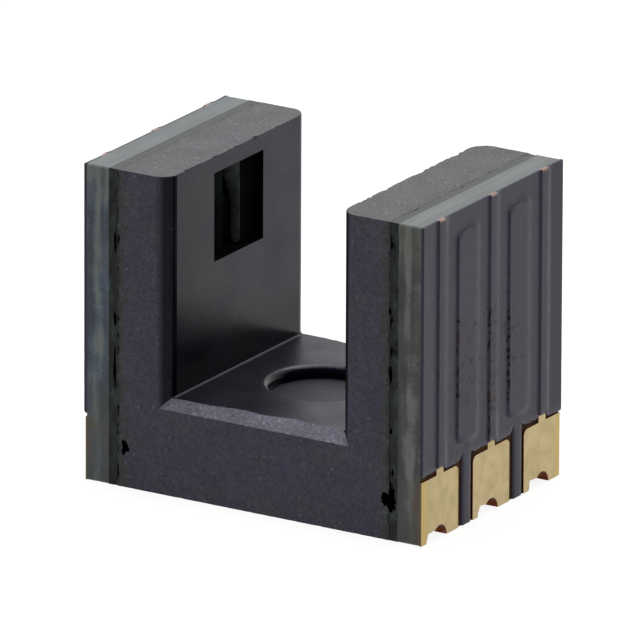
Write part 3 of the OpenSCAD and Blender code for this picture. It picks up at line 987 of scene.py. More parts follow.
def void_cutter(sides: Iterable[Side], front_y: float, number: int) -> bmesh.types.BMesh:
    """Builds ragged blobs centred on the front cut.

    Args:
        sides: the joints whose voids are wanted.
        front_y: place of the front cut.
        number: material number of the pits' walls.

    Returns:
        One mesh of closed blobs, in millimetres.
    """
    bm = bmesh.new()
    for order, void in enumerate(VOIDS):
        if void.side not in sides:
            continue
        centre = Vector((void.side.value * void.inset, front_y, void.height))
        depth = 1.4 * void.half_width + 0.02
        reach = Vector((void.half_width, depth, void.half_height))
        for vert in bmesh.ops.create_icosphere(bm, subdivisions=4, radius=1.0)["verts"]:
            angle = math.atan2(vert.co.z, vert.co.x) - math.radians(void.tip_deg)
            broad = noise.noise(vert.co * 1.6 + Vector((order * 5.3, 2.1, 0.7)))
            fine = noise.noise(vert.co * 4.5 + Vector((order * 3.7, 0.4, 9.2)))
            ragged = 0.15 + void.points
            swell = 1 + void.points * math.cos(3 * angle) + 0.4 * broad + ragged * fine
            vert.co = centre + Vector(a * b for a, b in zip(reach, vert.co * swell))
    for face in bm.faces:
        face.material_index = number
    return bm


@dataclass
class MouldedHousing:
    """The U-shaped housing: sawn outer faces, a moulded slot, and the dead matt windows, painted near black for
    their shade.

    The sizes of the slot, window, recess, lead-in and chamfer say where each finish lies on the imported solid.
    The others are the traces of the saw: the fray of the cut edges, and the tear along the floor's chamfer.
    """

    edge_break: float = 0.012
    fray: float = 0.01
    slot_fray: float = 0.045
    joint_fray: float = 0.05
    fray_reach: float = 0.05
    cut_reach: float = 0.06
    slot_half: float = 1.5
    slot_floor: float = 1.5
    window_half: float = 0.7
    window_sill: float = 0.14
    recess_radius: float = 0.8
    recess_depth: float = 0.2
    recess_lip: float = 0.2
    root: float = 0.05
    lead_in: float = 0.18
    lead_in_round: float = 0.07
    chamfer_reach: float = 0.4
    chamfer_drop: float = 0.3
    tear_step: float = 0.04
    tear_ends: float = 0.2
    tear_wander: float = 0.05
    tear_break: float = 0.035
    tear_growth: float = 0.16

    SKIN, SAWN, TORN, LEAD_IN, WINDOW, PIN, LIP, ROOT = range(8)

    def build(self) -> None:
        """Builds the housing's skin over its node."""
        low, high = box_mm("housing")
        self.width, self.depth, self.height = high.x, high.y, high.z
        resin_low, resin_high = box_mm("emitter_resin")
        self.axis_z = (resin_low.z + resin_high.z) / 2
        bm = solid_copy("housing")
        bmesh.ops.bevel(bm, geom=[e for e in bm.edges if self.on_lead_in(e)], offset=self.lead_in_round,
                        offset_type="OFFSET", segments=3, profile=0.5, affect="EDGES", clamp_overlap=False)
        self.tear_floor(bm)
        soften(bm, self.edge_break, self.fray_at, keep=self.on_saw_cut)
        for vert in bm.verts:
            vert.co.y = max(-self.depth, min(self.depth, vert.co.y))
            vert.co.z = max(0.0, min(self.height, vert.co.z))
        self.mark(bm)
        finishes = [
            MouldedPolymer("moulded_black_polymer"),
            SawnPolymer("sawn_black_polymer"),
            SawnPolymer("torn_black_polymer", body_hex="7b7988", haze_hex="7b7988", speck_hex="b8b6c2",
                        contrast=0.36, speck_share=0.25, roughness=0.7, rounded_off=0.0),
            # Lead-ins and sills: a darker, less reflective copy of the skin, painted shade for their dim faces
            MouldedPolymer("shaded_black_polymer", body_hex="0b0a13", specular=0.17),
            # Window walls and saw pits take this near-black finish: painted shade
            WindowWall("painted_shade_black_polymer"),
            MouldedPolymer("pin_marked_black_polymer", body_hex="1f1e24", cast_hex="f0ecff", roughness=0.5),
            # Lip: glossier skin, with the shade tint painting shade on its lower part and most on its near half
            MouldedPolymer("lip_polished_black_polymer", roughness=0.26, shade_facing=-2.0, shade_from_mm=1.43,
                           shade_to_mm=1.495, shade_front=0.9, shade_front_mm=-0.5, shade_rear_mm=0.1),
            MouldedPolymer("root_polished_black_polymer", roughness=0.16, specular=0.6, shade_facing=2.0),
        ]
        bm = carved(bm, void_cutter(list(Side), low.y, self.WINDOW), len(finishes))
        piece = finish_mesh("housing_skin", bm, finishes)
        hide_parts("housing")

    def tear_floor(self, bm: bmesh.types.BMesh) -> None:
        """Lets the inner edge of the floor's chamfer wander, and run further in towards the emitter."""
        for edge in self.floor_edges(bm):
            bmesh.ops.bisect_edges(bm, edges=[edge], cuts=round(edge.calc_length() / self.tear_step))
        torn = {v for e in self.floor_edges(bm) for v in e.verts}
        end = max(abs(v.co.x) for v in torn)
        for vert in torn:
            x, y = vert.co.x, vert.co.y
            inside = min(1.0, (end - abs(x)) / self.tear_ends)
            broad, fine = noise.noise(Vector((x * 2.2, y, 0.4))), noise.noise(Vector((x * 9.0, 0.3, 2.2)))
            growth = self.tear_growth * (0.5 + 0.5 * x / self.slot_half)
            run = growth + self.tear_wander * (broad + 0.5 * fine)
            vert.co.y -= math.copysign(inside * max(0.0, run), y)
        bmesh.ops.bevel(bm, geom=self.floor_edges(bm), offset=self.tear_break, offset_type="OFFSET",
                        segments=1, profile=0.5, affect="EDGES", clamp_overlap=True)

    def floor_edges(self, bm: bmesh.types.BMesh) -> list[bmesh.types.BMEdge]:
        """The edges between the slot's floor and its front and rear chamfers."""
        return [e for e in bm.edges if self.on_floor_edge(e)]

    def on_lead_in(self, edge: bmesh.types.BMEdge) -> bool:
        """Says whether an edge runs up along either side of a lead-in at the slot's mouths."""
        a, b = (v.co for v in edge.verts)
        upright = abs(a.z - b.z) > 1.0 and math.hypot(a.x - b.x, a.y - b.y) < NEAR
        slack = 0.01
        return upright and all(-slack < abs(c.x) - self.slot_half < self.lead_in + slack
                               and abs(c.y) > self.depth - self.lead_in - slack for c in (a, b))

    def on_floor_edge(self, edge: bmesh.types.BMEdge) -> bool:
        """Says whether an edge lies between the slot's floor and its front or rear chamfer."""
        a, b = (v.co for v in edge.verts)
        along_x = abs(a.y - b.y) < abs(a.x - b.x) * 4
        return along_x and all(abs(c.z - self.slot_floor) < NEAR
                               and self.depth - 0.5 < abs(c.y) < self.depth - 0.05 for c in (a, b))

    def on_saw_cut(self, edge: bmesh.types.BMEdge) -> bool:
        """Says whether an edge lies in the front, rear, top or solder-side cut."""
        a, b = (v.co for v in edge.verts)
        level = abs(a.z - self.height) < NEAR or abs(a.z) < NEAR
        upright = abs(abs(a.y) - self.depth) < NEAR
        return (upright and abs(a.y - b.y) < NEAR) or (level and abs(a.z - b.z) < NEAR)

    def fray_at(self, place: Vector) -> float:
        """How ragged an edge is: most where the saw left the top of the slot, and beside the joints."""
        at_top = place.z > self.height - self.fray_reach
        if abs(place.x) > self.width - self.fray_reach:
            return self.fray if at_top else self.joint_fray
        at_slot = abs(place.x) < self.slot_half + self.lead_in + self.lead_in_round
        return self.slot_fray if at_top and at_slot else self.fray

    def mark(self, bm: bmesh.types.BMesh) -> None:
        """Gives each face the number of its finish."""
        bm.normal_update()
        for face in bm.faces:
            face.material_index = self.finish_of(face)

    def finish_of(self, face: bmesh.types.BMFace) -> int:
        """Tells a face's finish by where it lies and which way it faces."""
        centre, normal = face.calc_center_median(), face.normal
        out, along, from_axis = abs(centre.x), abs(centre.y), centre.xy.length
        below_floor = self.slot_floor - centre.z
        in_chamfer = 0 < below_floor < self.chamfer_drop and along > self.depth - self.chamfer_reach
        in_mouth = along > self.depth - self.lead_in - self.lead_in_round
        beside_axis = abs(centre.z - self.axis_z) < 1.1 * self.window_half and along < 1.6 * self.window_half
        if all(self.near_cut(v.co) for v in face.verts):
            return self.SAWN
        if in_chamfer and normal.z > 0.3 and abs(normal.y) > 0.2:
            return self.TORN
        if normal.z > 0.9 and below_floor > self.recess_depth / 2 and from_axis < self.recess_radius:
            return self.PIN
        if below_floor > 0.002 and from_axis < self.recess_radius + self.recess_lip:
            return self.LIP
        if out > self.slot_half - self.root and abs(below_floor) < self.root and normal.z > 0.1:
            return self.ROOT
        if in_mouth and abs(normal.x) > 0.5 and abs(normal.y) > 0.5:
            return self.LEAD_IN
        if beside_axis and out > self.slot_half + 0.005:
            on_sill = normal.z > 0.9 and out < self.slot_half + self.window_sill
            return self.LEAD_IN if on_sill else self.WINDOW
        return self.SKIN

    def near_cut(self, place: Vector) -> bool:
        """Says whether a place lies in a saw cut or in the broken edge beside it."""
        upright = abs(place.y) > self.depth - self.cut_reach
        return upright or place.z > self.height - self.cut_reach or place.z < self.cut_reach


@dataclass
class ResinFlash:
    """The film of clear resin on the rear wall of an aperture slit, which bridges the slit's upper end."""

    side: Side
    web_x: float = 1.64
    web_thickness: float = 0.2
    slit_half: float = 0.25
    slit_half_height: float = 0.7
    film: float = 0.012
    film_reach: float = 0.15
    bridge: float = 0.19
    bridge_foot: float = 3.95
    bridge_rise: float = 0.7
    clearance: float = 0.002
    columns: int = 10
    rows: int = 60

    def build(self) -> None:
        """Builds the film with a round lower end and a bridge at its top."""
        resin_low, resin_high = box_mm(f"{self.side.prefix}_resin")
        axis_z = (resin_low.z + resin_high.z) / 2
        top = axis_z + self.slit_half_height - self.clearance
        bottom = axis_z - self.slit_half_height + 0.02
        bm = bmesh.new()
        outer, inner = [], []
        for r in range(self.rows + 1):
            outer.append([])
            inner.append([])
            for c in range(self.columns + 1):
                u = c / self.columns
                round_end = 0.3 * self.web_thickness * (1 - math.sqrt(max(0.0, 1 - (2 * u - 1) ** 2)))
                low = bottom + round_end
                z = low + (top - low) * r / self.rows
                rise = min(1.0, (z - low) / 0.1)
                climb = min(1.0, max(0.0, (z - self.bridge_foot) / self.bridge_rise))
                widest = self.web_thickness - 2 * self.clearance
                reach = self.film_reach + (widest - self.film_reach) * climb
                x = self.side.value * (self.web_x + self.clearance + reach * u)
                thick = self.film * math.sqrt(rise) + self.bridge * u * climb * climb * (3 - 2 * climb)
                outer[r].append(bm.verts.new((x, self.slit_half - self.clearance - thick, z)))
                inner[r].append(bm.verts.new((x, self.slit_half - self.clearance / 2, z)))
        for layer in (outer, inner):
            for a, b in zip(layer, layer[1:]):
                for c in range(self.columns):
                    bm.faces.new([a[c], a[c + 1], b[c + 1], b[c]])
        rim = [(0, c) for c in range(self.columns)] + [(r, self.columns) for r in range(self.rows)]
        rim += [(self.rows, c) for c in range(self.columns, 0, -1)]
        rim += [(r, 0) for r in range(self.rows, 0, -1)]
        for (ra, ca), (rb, cb) in zip(rim, rim[1:] + rim[:1]):
            bm.faces.new([outer[ra][ca], outer[rb][cb], inner[rb][cb], inner[ra][ca]])
        finish_mesh(f"{self.side.prefix}_resin_flash", bm, [MilkyEpoxy("milky_epoxy_flash")],
                    sharp_deg=60)


@dataclass
class ResistFilm:
    """One board's solder resist, modelled as a film that levels out over the copper.

    It was printed a little to the rear, so each ridge starts steeply at the copper's front edge and ends
    gently past its rear edge, and its windows lie off the pads' middles. The saw wore it through over the tie
    bars' ends. The smallest step of its grid, and its smallest thickness over copper, is least.
    """

    side: Side
    relief: float = 0.028
    peel: float = 0.0012
    steep: float = 0.022
    gentle: float = 0.13
    slump: float = 0.045
    shift: float = 0.03
    side_gap: float = 0.08
    shield_corner: float = 0.12
    tie_width: float = 0.2
    rim_reach: float = 0.35
    rim_rise: float = 0.018
    step: float = 0.07
    least: float = 0.004
    edge_round: float = 0.03
    edge_drop: float = 0.02
    worn_height: float = 0.03
    worn_share: float = 0.7
    sag: float = 0.05
    rear_sag: float = 0.045
    sag_reach: float = 0.2
    sag_on_tie: float = 0.2
    sag_ragged: float = 0.02

    FILM, WORN = range(2)

    def measure(self) -> None:
        """Reads the film, the tie bars and the shields from the frame."""
        prefix = self.side.prefix
        low, high = box_mm(f"{prefix}_resist")
        self.depth, self.top = high.y, high.z
        self.crest_x = max(abs(low.x), abs(high.x))
        self.base_x = max(abs(corner.x) for corner in box_mm(f"{prefix}_board"))
        self.foil_x = max(abs(corner.x) for corner in box_mm(f"{prefix}_shield_front"))
        pads = [box_mm(f"{prefix}_pad_gold_{place.value}") for place in Place]
        middle = (pads[1][0].y + pads[1][1].y) / 2
        pitch = middle - (pads[0][0].y + pads[0][1].y) / 2
        self.ties = [middle - pitch, middle, middle + pitch]
        self.fingers = [(a[1].y + self.side_gap + self.shift, b[0].y - self.side_gap + self.shift)
                        for a, b in zip(pads, pads[1:])]
        self.shields = [box_mm(f"{prefix}_shield_{gap.value}") for gap in Gap]
        self.foot = pads[0][1].z

    def build(self) -> None:
        """Builds the film and lets it stand for its node."""
        self.measure()
        half = self.tie_width / 2
        front = [s * self.steep for s in (-1.0, -0.5, -0.25, 0.0, 0.25, 0.5, 1.0)]
        rear = [self.slump + s * self.gentle for s in (-0.5, -0.25, 0.0, 0.25, 0.5)]
        rim = [0.0, 0.3 * self.edge_round, self.edge_round]
        fixed_y = [tie - half + d for tie in self.ties for d in front]
        fixed_y += [tie + half + d for tie in self.ties for d in rear]
        fixed_y += [low.y + d for low, _ in self.shields for d in front]
        fixed_y += [high.y + d for _, high in self.shields for d in rear]
        fixed_y += [a + d for a, _ in self.fingers for d in rim]
        fixed_y += [b - d for _, b in self.fingers for d in rim]
        low, high = self.shields[0]
        curve = [self.shield_corner * (1 - math.cos(math.radians(a))) for a in (30, 50, 70, 90)]
        fixed_z = [self.foot + d for d in rim] + [self.top - self.worn_height]
        fixed_z += [low.z + d for d in front + curve] + [high.z - d for d in front + curve]
        lines_y = self.lines(-self.depth, self.depth, fixed_y)
        lines_z = self.lines(0.0, self.top, fixed_z)
        bm = slab(lines_y, lines_z, self.covered, self.over, self.under, self.side.value)
        for face in bm.faces:
            centre = face.calc_center_median()
            on_tie = any(abs(centre.y - tie) < self.worn_share * half for tie in self.ties)
            if on_tie and centre.z > self.top - self.worn_height:
                face.material_index = self.WORN
        for vert in bm.verts:
            vert.co.z -= self.sag_at(vert.co.y, vert.co.z)
        piece = finish_mesh(f"{self.side.prefix}_resist_film", bm, [
            SolderResist("dark_solder_resist"), Copper("sawn_copper", self.depth, tarnish_hex="7b6460"),
        ], sharp_deg=50)
        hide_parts(f"{self.side.prefix}_resist")

    def sag_at(self, y: float, z: float) -> float:
        """How far the film's ragged foot has crept down over the gap above a pad."""
        in_finger = any(a - SAME <= y <= b + SAME for a, b in self.fingers)
        if z < self.foot - SAME or in_finger:
            return 0.0
        past = min((y - tie for tie in self.ties), key=abs)
        creep = self.sag * (self.sag_on_tie if abs(past) < self.tie_width / 2 + 0.01 else 1.0)
        creep += self.rear_sag * min(1.0, max(0.0, (past - self.tie_width / 2) / 0.1))
        creep += self.sag_ragged * noise.noise(Vector((y * 12.0, 1.7, self.side.value)))
        return max(0.0, creep * (1 - (z - self.foot) / self.sag_reach))

    def lines(self, low: float, high: float, fixed: Iterable[float]) -> list[float]:
        """Grid lines at about one step that pass through every fixed value."""
        stops = [low]
        for stop in sorted(f for f in fixed if low < f < high):
            if stop - stops[-1] > self.least:
                stops.append(stop)
        stops.append(high)
        out = [low]
        for a, b in zip(stops, stops[1:]):
            count = max(1, round((b - a) / self.step))
            out += [a + (b - a) * (i + 1) / count for i in range(count)]
        return out

    def covered(self, y: float, z: float) -> bool:
        """Says whether the film covers a place on the board."""
        return z > self.foot or any(a < y < b for a, b in self.fingers)

    def ridge(self, y: float, low: float, high: float, past: float = -math.inf) -> float:
        """Height of the film over a copper strip, as a share of its relief.

        Args:
            y: place along the board.
            low: front edge of the copper.
            high: rear edge of the copper.
            past: distance beyond the copper's end in Z, negative where the place lies beside it.

        Returns:
            1 over the copper, 0 away from it.
        """
        to_rear = y > (low + high) / 2
        edge = y - high - self.slump if to_rear else low - y
        a, b = edge + self.shield_corner, past + self.shield_corner
        outside = math.hypot(a, b) - self.shield_corner if a > 0 and b > 0 else max(edge, past)
        t = min(1.0, max(0.0, 0.5 - outside / (self.gentle if to_rear else self.steep)))
        return t * t * (3 - 2 * t)

    def over(self, y: float, z: float) -> float:
        """Distance of the film's outer surface from the middle plane."""
        half = self.tie_width / 2
        share = max(self.ridge(y, tie - half, tie + half) for tie in self.ties)
        for low, high in self.shields:
            share = max(share, self.ridge(y, low.y, high.y, max(low.z - z, z - high.z)))
        edge = z - self.foot if z >= self.foot else self.edge_round
        for a, b in self.fingers:
            if z < self.foot:
                edge = min(y - a, b - y) if a - SAME < y < b + SAME else edge
            elif a < y < b:
                edge = self.edge_round
        drop = max(0.0, 1 - max(0.0, edge) / self.edge_round)
        rim = max(0.0, 1 - (self.depth - abs(y)) / self.rim_reach)
        peel = self.peel * noise.noise(Vector((y * 6.0, z * 6.0, 3.7)))
        level = max(share * self.relief, rim * self.rim_rise)
        return min(self.crest_x, self.crest_x - self.relief + level - self.edge_drop * drop * drop + peel)

    def under(self, y: float, z: float) -> float:
        """Distance of the film's inner surface from the middle plane, a step up where copper lies below."""
        on_tie = any(abs(y - tie) < self.tie_width / 2 - SAME for tie in self.ties)
        return min(self.foil_x, self.over(y, z) - self.least) if on_tie else self.base_x


def slab(lines_y: Sequence[float], lines_z: Sequence[float], covered: Callable[[float, float], bool],
         over: Callable[[float, float], float], under: Callable[[float, float], float],
         sign: int) -> bmesh.types.BMesh:
    """Builds a closed film on a grid in Y and Z.

    Args:
        lines_y: grid lines along Y.
        lines_z: grid lines along Z.
        covered: says whether the cell round a place is filled.
        over: distance of the outer surface from the middle plane.
        under: distance of the inner surface from the middle plane.
        sign: 1 for the right side, -1 for the left.

    Returns:
        The film's mesh, in millimetres.
    """
    bm = bmesh.new()
    outer: dict[tuple[int, int], bmesh.types.BMVert] = {}
    inner: dict[tuple[int, int], bmesh.types.BMVert] = {}

    def corner(i: int, j: int) -> tuple[bmesh.types.BMVert, bmesh.types.BMVert]:
        """The outer and inner vertex at a crossing of the grid, made on first use."""
        if (i, j) not in outer:
            y, z = lines_y[i], lines_z[j]
            outer[i, j] = bm.verts.new((sign * over(y, z), y, z))
            inner[i, j] = bm.verts.new((sign * under(y, z), y, z))
        return outer[i, j], inner[i, j]

    filled = {
        (i, j)
        for i in range(len(lines_y) - 1)
        for j in range(len(lines_z) - 1)
        if covered((lines_y[i] + lines_y[i + 1]) / 2, (lines_z[j] + lines_z[j + 1]) / 2)
    }
    for i, j in sorted(filled):
        ring = [(i, j), (i + 1, j), (i + 1, j + 1), (i, j + 1)]
        bm.faces.new([corner(*c)[0] for c in ring])
        bm.faces.new([corner(*c)[1] for c in reversed(ring)])
        for (di, dj), a, b in (((0, -1), 0, 1), ((1, 0), 1, 2), ((0, 1), 2, 3), ((-1, 0), 3, 0)):
            if (i + di, j + dj) not in filled:
                (oa, ia), (ob, ib) = corner(*ring[a]), corner(*ring[b])
                bm.faces.new([oa, ia, ib, ob])
    return bm


@dataclass
class BondLine:
    """The adhesive joint of one side, whose sawn rim is ragged and pitted."""

    side: Side
    columns: int = 6
    step: float = 0.035
    sink: float = 0.02
    pit: float = 0.05
    top_share: float = 0.12

    GLUE, PIT = range(2)

    def build(self) -> None:
        """Copies the joint, puts a grid on its front, rear and top, and sinks the grid's points."""
        prefix = self.side.prefix
        low, high = box_mm(f"{prefix}_adhesive")
        self.board_x = max(abs(low.x), abs(high.x))
        bm = solid_copy(f"{prefix}_adhesive")
        front, rear, top = Vector((0, 1, 0)), Vector((0, -1, 0)), Vector((0, 0, -1))
        for inward, level in ((front, low.y), (rear, -high.y), (top, -high.z)):
            self.roughen(bm, inward, level)
        # The pits' walls take the near-black finish: painted shade
        finishes = [BondingAdhesive("sawn_epoxy_adhesive"), WindowWall("painted_shade_black_polymer")]
        bm = carved(bm, void_cutter([self.side], low.y, self.PIT), len(finishes))
        piece = finish_mesh(f"{prefix}_adhesive_bead", bm, finishes)
        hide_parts(f"{prefix}_adhesive")

    def roughen(self, bm: bmesh.types.BMesh, inward: Vector, level: float) -> None:
        """Puts a grid on one sawn rim and sinks it.

        Args:
            bm: the joint's mesh.
            inward: direction from that rim into the joint.
            level: the rim's place along that direction.
        """
        rim = max((f for f in bm.faces if abs(f.calc_center_median().dot(inward) - level) < NEAR),
                  key=lambda f: f.calc_area())
        long_edges = [e for e in rim.edges if self.width_of(e) < SAME]
        cuts = round(max(e.calc_length() for e in long_edges) / self.step)
        bmesh.ops.subdivide_edges(bm, edges=long_edges, cuts=cuts)
        rungs = [e for e in bm.edges if self.on_rim(e, inward, level) and self.width_of(e) > 0.1]
        bmesh.ops.subdivide_edges(bm, edges=rungs, cuts=self.columns - 1, use_grid_fill=True)
        for vert in bm.verts:
            on_board = abs(abs(vert.co.x) - self.board_x) < SAME
            if abs(vert.co.dot(inward) - level) < SAME and not on_board:
                vert.co += inward * self.depth_at(vert.co) * (self.top_share if inward.z else 1.0)

    @staticmethod
    def on_rim(edge: bmesh.types.BMEdge, inward: Vector, level: float) -> bool:
        """Says whether both ends of an edge lie on a rim."""
        return all(abs(v.co.dot(inward) - level) < SAME for v in edge.verts)

    @staticmethod
    def width_of(edge: bmesh.types.BMEdge) -> float:
        """How far an edge runs across the joint."""
        return abs(edge.verts[0].co.x - edge.verts[1].co.x)

    def depth_at(self, place: Vector) -> float:
        """How deep the rim is sunk at a place: a slight hollow, with pits where the noise peaks."""
        hollow = self.sink * (0.5 + 0.5 * noise.noise(place * 5.0))
        peak = noise.noise(place * 3.1 + Vector((7.0, 1.0, 4.0))) + 0.4 * noise.noise(place * 11.0)
        return hollow + self.pit * max(0.0, peak - 0.25) * 3


@dataclass
class Terminal:
    """One plated terminal: its copper and its gold, rolled over at the sawn end and torn at the half hole."""

    side: Side
    place: Place
    roll_reach: float = 0.2
    roll_squeeze: float = 0.2
    roll_steps: int = 6
    tear_reach: float = 0.33
    tear_height: float = 0.15
    tear_depth: float = 0.26
    tear_slant: float = 0.06
    tear_ragged: float = 0.026

    FACE, FLANK = range(2)

    def measure(self) -> None:
        """Reads the pad and the board from the frame."""
        prefix = self.side.prefix
        self.base_x = max(abs(corner.x) for corner in box_mm(f"{prefix}_board"))
        self.depth = box_mm(f"{prefix}_board")[1].y
        low, high = box_mm(f"{prefix}_pad_gold_{self.place.value}")
        self.middle = (low.y + high.y) / 2

    def tear(self, number: int) -> bmesh.types.BMesh:
        """Builds the ragged bite that the saw took out of the board on the front side of the half hole.

        Args:
            number: material number of its walls.

        Returns:
            A closed mesh, in millimetres.
        """
        bm = bmesh.new()
        bmesh.ops.create_cube(bm, size=1.0)
        bmesh.ops.subdivide_edges(bm, edges=bm.edges[:], cuts=4, use_grid_fill=True)
        outside, below = 0.1, 0.05
        size = Vector((self.tear_depth + outside, self.tear_reach, self.tear_height + below))
        centre = Vector((self.base_x + (outside - self.tear_depth) / 2, self.middle - self.tear_reach / 2,
                         (self.tear_height - below) / 2))
        for vert in bm.verts:
            spot = centre + Vector(a * b for a, b in zip(size, vert.co))
            if vert.co.y < 0:
                spot.y -= self.tear_slant * (1 - spot.z / self.tear_height)
            start = spot * 14.0 + Vector((0, self.middle * 3.0, self.side.value * 8.0))
            wander = [noise.noise(start + Vector((apart, 0, 0))) for apart in (0.0, 41.3, 87.9)]
            spot += self.tear_ragged * Vector(wander)
            vert.co = Vector((self.side.value * spot.x, spot.y, spot.z))
        bmesh.ops.recalc_face_normals(bm, faces=bm.faces)
        for face in bm.faces:
            face.material_index = number
        return bm

    def build(self) -> None:
        """Builds the copper and the gold over their nodes."""
        self.measure()
        name = f"{self.side.prefix}_conductor_{self.place.value}"
        bm = carved(solid_copy(name), self.tear(0), 1)
        self.roll_over(bm)
        piece = finish_mesh(f"{name}_sawn", bm, [Copper("tarnished_copper", self.depth)])
        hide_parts(name)
        name = f"{self.side.prefix}_pad_gold_{self.place.value}"
        bm = solid_copy(name)
        bm.normal_update()
        for face in bm.faces:
            if abs(face.normal.x) < 0.5:
                face.material_index = self.FLANK
        bm = carved(bm, self.tear(self.FLANK), 2)
        self.roll_over(bm)
        piece = finish_mesh(f"{name}_face", bm, [
            ImmersionGold("immersion_gold", self.depth),
            Copper("oxidised_copper", self.depth, bright_hex="d89a7c", tarnish_hex="b0633d", metallic=0.2),
        ])
        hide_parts(name)

    def roll_over(self, bm: bmesh.types.BMesh) -> None:
        """Presses the outer layers down to the board along the last stretch before the front or rear cut."""
        start = self.depth - self.roll_reach
        for i in range(self.roll_steps):
            for sign in (-1, 1):
                y = sign * (start + self.roll_reach * i / self.roll_steps)
                bmesh.ops.bisect_plane(bm, geom=bm.verts[:] + bm.edges[:] + bm.faces[:], dist=0.1 * SAME,
                                       plane_co=(0, y, 0), plane_no=(0, 1, 0))
        for vert in bm.verts:
            rise = abs(vert.co.x) - self.base_x
            along = (abs(vert.co.y) - start) / self.roll_reach
            if rise > 0 and along > 0:
                vert.co.x = self.side.value * (self.base_x + rise * (1 - self.roll_squeeze * along**2))


@dataclass
class BoardSide:
    """One etched board with its terminals and resist, and what it carries inside the housing."""

    side: Side
    dark_hex: str
    mid_hex: str
    light_hex: str
    edge_break: float = 0.02

    EDGE, FACE = range(2)

    def build(self) -> None:
        """Dresses the frame's nodes and builds the pieces that stand for some of them."""
        prefix = self.side.prefix
        terminals = [Terminal(self.side, place) for place in Place]
        for terminal in terminals:
            terminal.build()
        self.laminate(terminals)
        ResistFilm(self.side).build()
        BondLine(self.side).build()
        ResinFlash(self.side).build()
        for gap in Gap:
            self.dress(f"{prefix}_shield_{gap.value}", Copper("tarnished_copper", terminals[0].depth))
        self.dress(f"{prefix}_chip", DicedCrystal(f"{prefix}_chip_crystal"))
        self.dress(f"{prefix}_bond_wire", DrawnGold("drawn_gold_wire"))
        self.dress(f"{prefix}_resin", ClearEpoxy("clear_moulded_epoxy"))

    def laminate(self, terminals: Sequence[Terminal]) -> None:
        """Builds the glass-epoxy board with the bites at its half holes.

        Args:
            terminals: the board's terminals, measured.
        """
        node = f"{self.side.prefix}_board"
        low, high = (abs(corner.x) for corner in box_mm(node))
        outer, inner = max(low, high), min(low, high)
        bm = solid_copy(node)
        bm.normal_update()
        for face in bm.faces:
            if abs(face.normal.x) > 0.9 and abs(abs(face.calc_center_median().x) - outer) < NEAR:
                face.material_index = self.FACE
        soften(bm, self.edge_break, keep=lambda edge: abs(edge.verts[0].co.x - edge.verts[1].co.x) > 0.1)
        for terminal in terminals:
            bm = carved(bm, terminal.tear(self.EDGE), 2)
        edge = GlassEpoxy(f"{self.side.prefix}_glass_epoxy", self.dark_hex, self.mid_hex, self.light_hex,
                          middle_mm=(outer + inner) / 2, half_thickness_mm=(outer - inner) / 2,
                          top_mm=box_mm(node)[1].z)
        piece = finish_mesh(f"{node}_laminate", bm, [edge, EtchedLaminate("etched_glass_epoxy")])
        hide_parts(node)

    @staticmethod
    def dress(node: str, finish: Finish) -> None:
        """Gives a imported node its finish."""
        for slot in bpy.data.objects[node].material_slots:
            slot.material = finish.material()
        LOG.info("%s: %s", node, finish.name)


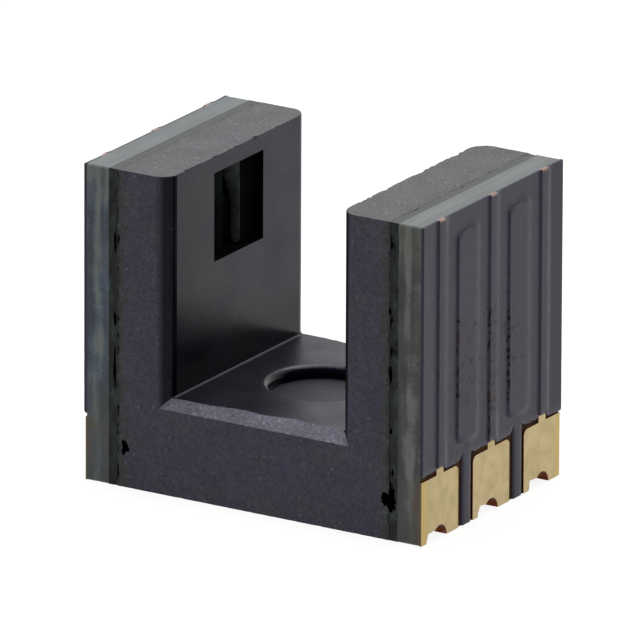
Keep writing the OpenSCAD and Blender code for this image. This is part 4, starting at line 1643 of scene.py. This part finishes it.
@dataclass
class Studio:
    """Pale floor, white surround, soft lamps and the camera at the photograph's angle."""

    azimuth: float = 31.6
    elevation: float = 18.16
    roll: float = 0.23
    distance: float = 300.0
    focal_px: float = 19935.0
    aim: tuple[float, float, float] = (-0.0387, -0.0267, 2.4924)
    floor_half: float = 400.0
    floor_gap: float = 0.002
    fill: float = 0.25
    floor_glow: float = 0.89
    floor_grey: float = 0.22
    bounce_grey: float = 0.35

    def build(self) -> None:
        """Makes the floor, the surround, the lamps and the camera."""
        self.surround()
        self.floor()
        self.lamp("overhead", place=(-12, 14, 60), target=(0, 0, 2), size=60, watts=0.036)
        self.lamp("right_fill", place=(60, 12, 24), target=(0, 0, 2.5), size=50, watts=0.006)
        self.camera()
        bpy.context.scene.view_settings.view_transform = "Standard"

    @staticmethod
    def grey(level: float) -> Colour:
        """A neutral colour of this linear level."""
        return (level, level, level, 1.0)

    @staticmethod
    def seen(tree: Tree) -> Node:
        """1 for what the camera, a reflection or a clear body shows, 0 for light that a surface scatters."""
        path = add(tree, "LightPath")
        either = add(tree, "Math", {0: path.outputs["Is Camera Ray"], 1: path.outputs["Is Glossy Ray"]},
                     operation="MAXIMUM")
        return add(tree, "Math", {0: either, 1: path.outputs["Is Transmission Ray"]}, operation="MAXIMUM")

    def surround(self) -> None:
        """A white world: full for what the camera and reflections see, lower for what it sheds."""
        world = bpy.data.worlds.new("white_surround")
        world.use_nodes = True
        tree = world.node_tree
        tree.nodes.clear()
        strength = add(tree, "MapRange", {"Value": self.seen(tree), "To Min": self.fill, "To Max": 1.0})
        light = add(tree, "Background", {"Color": self.grey(1), "Strength": strength})
        add(tree, "OutputWorld", {"Surface": light})
        bpy.context.scene.world = world

    def floor(self) -> None:
        """A pale floor that looks white, takes a light shadow and sheds a little light."""
        bm = bmesh.new()
        bmesh.ops.create_grid(bm, x_segments=1, y_segments=1, size=self.floor_half * MM)
        mesh = bpy.data.meshes.new("floor")
        bm.to_mesh(mesh)
        bm.free()
        material = bpy.data.materials.new("pale_floor")
        material.use_nodes = True
        tree = material.node_tree
        tree.nodes.clear()
        shaded = add(tree, "BsdfDiffuse", {"Color": self.grey(self.floor_grey)})
        glow = add(tree, "Emission", {"Color": self.grey(1), "Strength": self.floor_glow})
        white = add(tree, "AddShader", {0: shaded, 1: glow})
        bounce = add(tree, "BsdfDiffuse", {"Color": self.grey(self.bounce_grey)})
        mix = add(tree, "MixShader", {0: self.seen(tree), 1: bounce, 2: white})
        add(tree, "OutputMaterial", {"Surface": mix})
        mesh.materials.append(material)
        floor = bpy.data.objects.new("floor", mesh)
        floor.location.z = -self.floor_gap * MM
        bpy.context.scene.collection.objects.link(floor)

    @staticmethod
    def lamp(name: str, place: tuple[float, float, float], target: tuple[float, float, float], size: float,
             watts: float) -> None:
        """Adds a square area lamp, with its place, target and size in millimetres."""
        data = bpy.data.lights.new(name, "AREA")
        data.size = size * MM
        data.energy = watts
        lamp = bpy.data.objects.new(name, data)
        start, end = Vector(place) * MM, Vector(target) * MM
        aim = (end - start).to_track_quat("-Z", "Y")
        lamp.matrix_world = Matrix.Translation(start) @ aim.to_matrix().to_4x4()
        bpy.context.scene.collection.objects.link(lamp)

    def camera(self) -> None:
        """Sets a long lens far off, as near to parallel lines as the photograph's."""
        data = bpy.data.cameras.new("camera")
        data.sensor_width = 36.0
        data.lens = data.sensor_width * self.focal_px / IMAGE_PX
        data.clip_start = 0.05
        data.clip_end = 5.0
        turn = Matrix.Rotation(math.radians(self.azimuth), 3, "Z")
        tilt = Matrix.Rotation(math.radians(90 - self.elevation), 3, "X")
        spin = Matrix.Rotation(math.radians(self.roll), 3, "Z")
        facing = turn @ tilt @ spin
        place = Vector(self.aim) * MM + facing @ Vector((0, 0, self.distance * MM))
        camera = bpy.data.objects.new("camera", data)
        camera.matrix_world = Matrix.Translation(place) @ facing.to_4x4()
        bpy.context.scene.collection.objects.link(camera)
        bpy.context.scene.camera = camera


def main() -> None:
    """Builds the sensor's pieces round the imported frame, and the studio round them."""
    logging.basicConfig(level=logging.INFO, format="%(message)s")
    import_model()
    Studio().build()
    MouldedHousing().build()
    BoardSide(Side.DETECTOR, dark_hex="353c47", mid_hex="586677", light_hex="88918f").build()
    BoardSide(Side.EMITTER, dark_hex="282b2a", mid_hex="4c5050", light_hex="8c908c").build()
    bpy.context.view_layer.update()


if __name__ == "__main__":
    main()
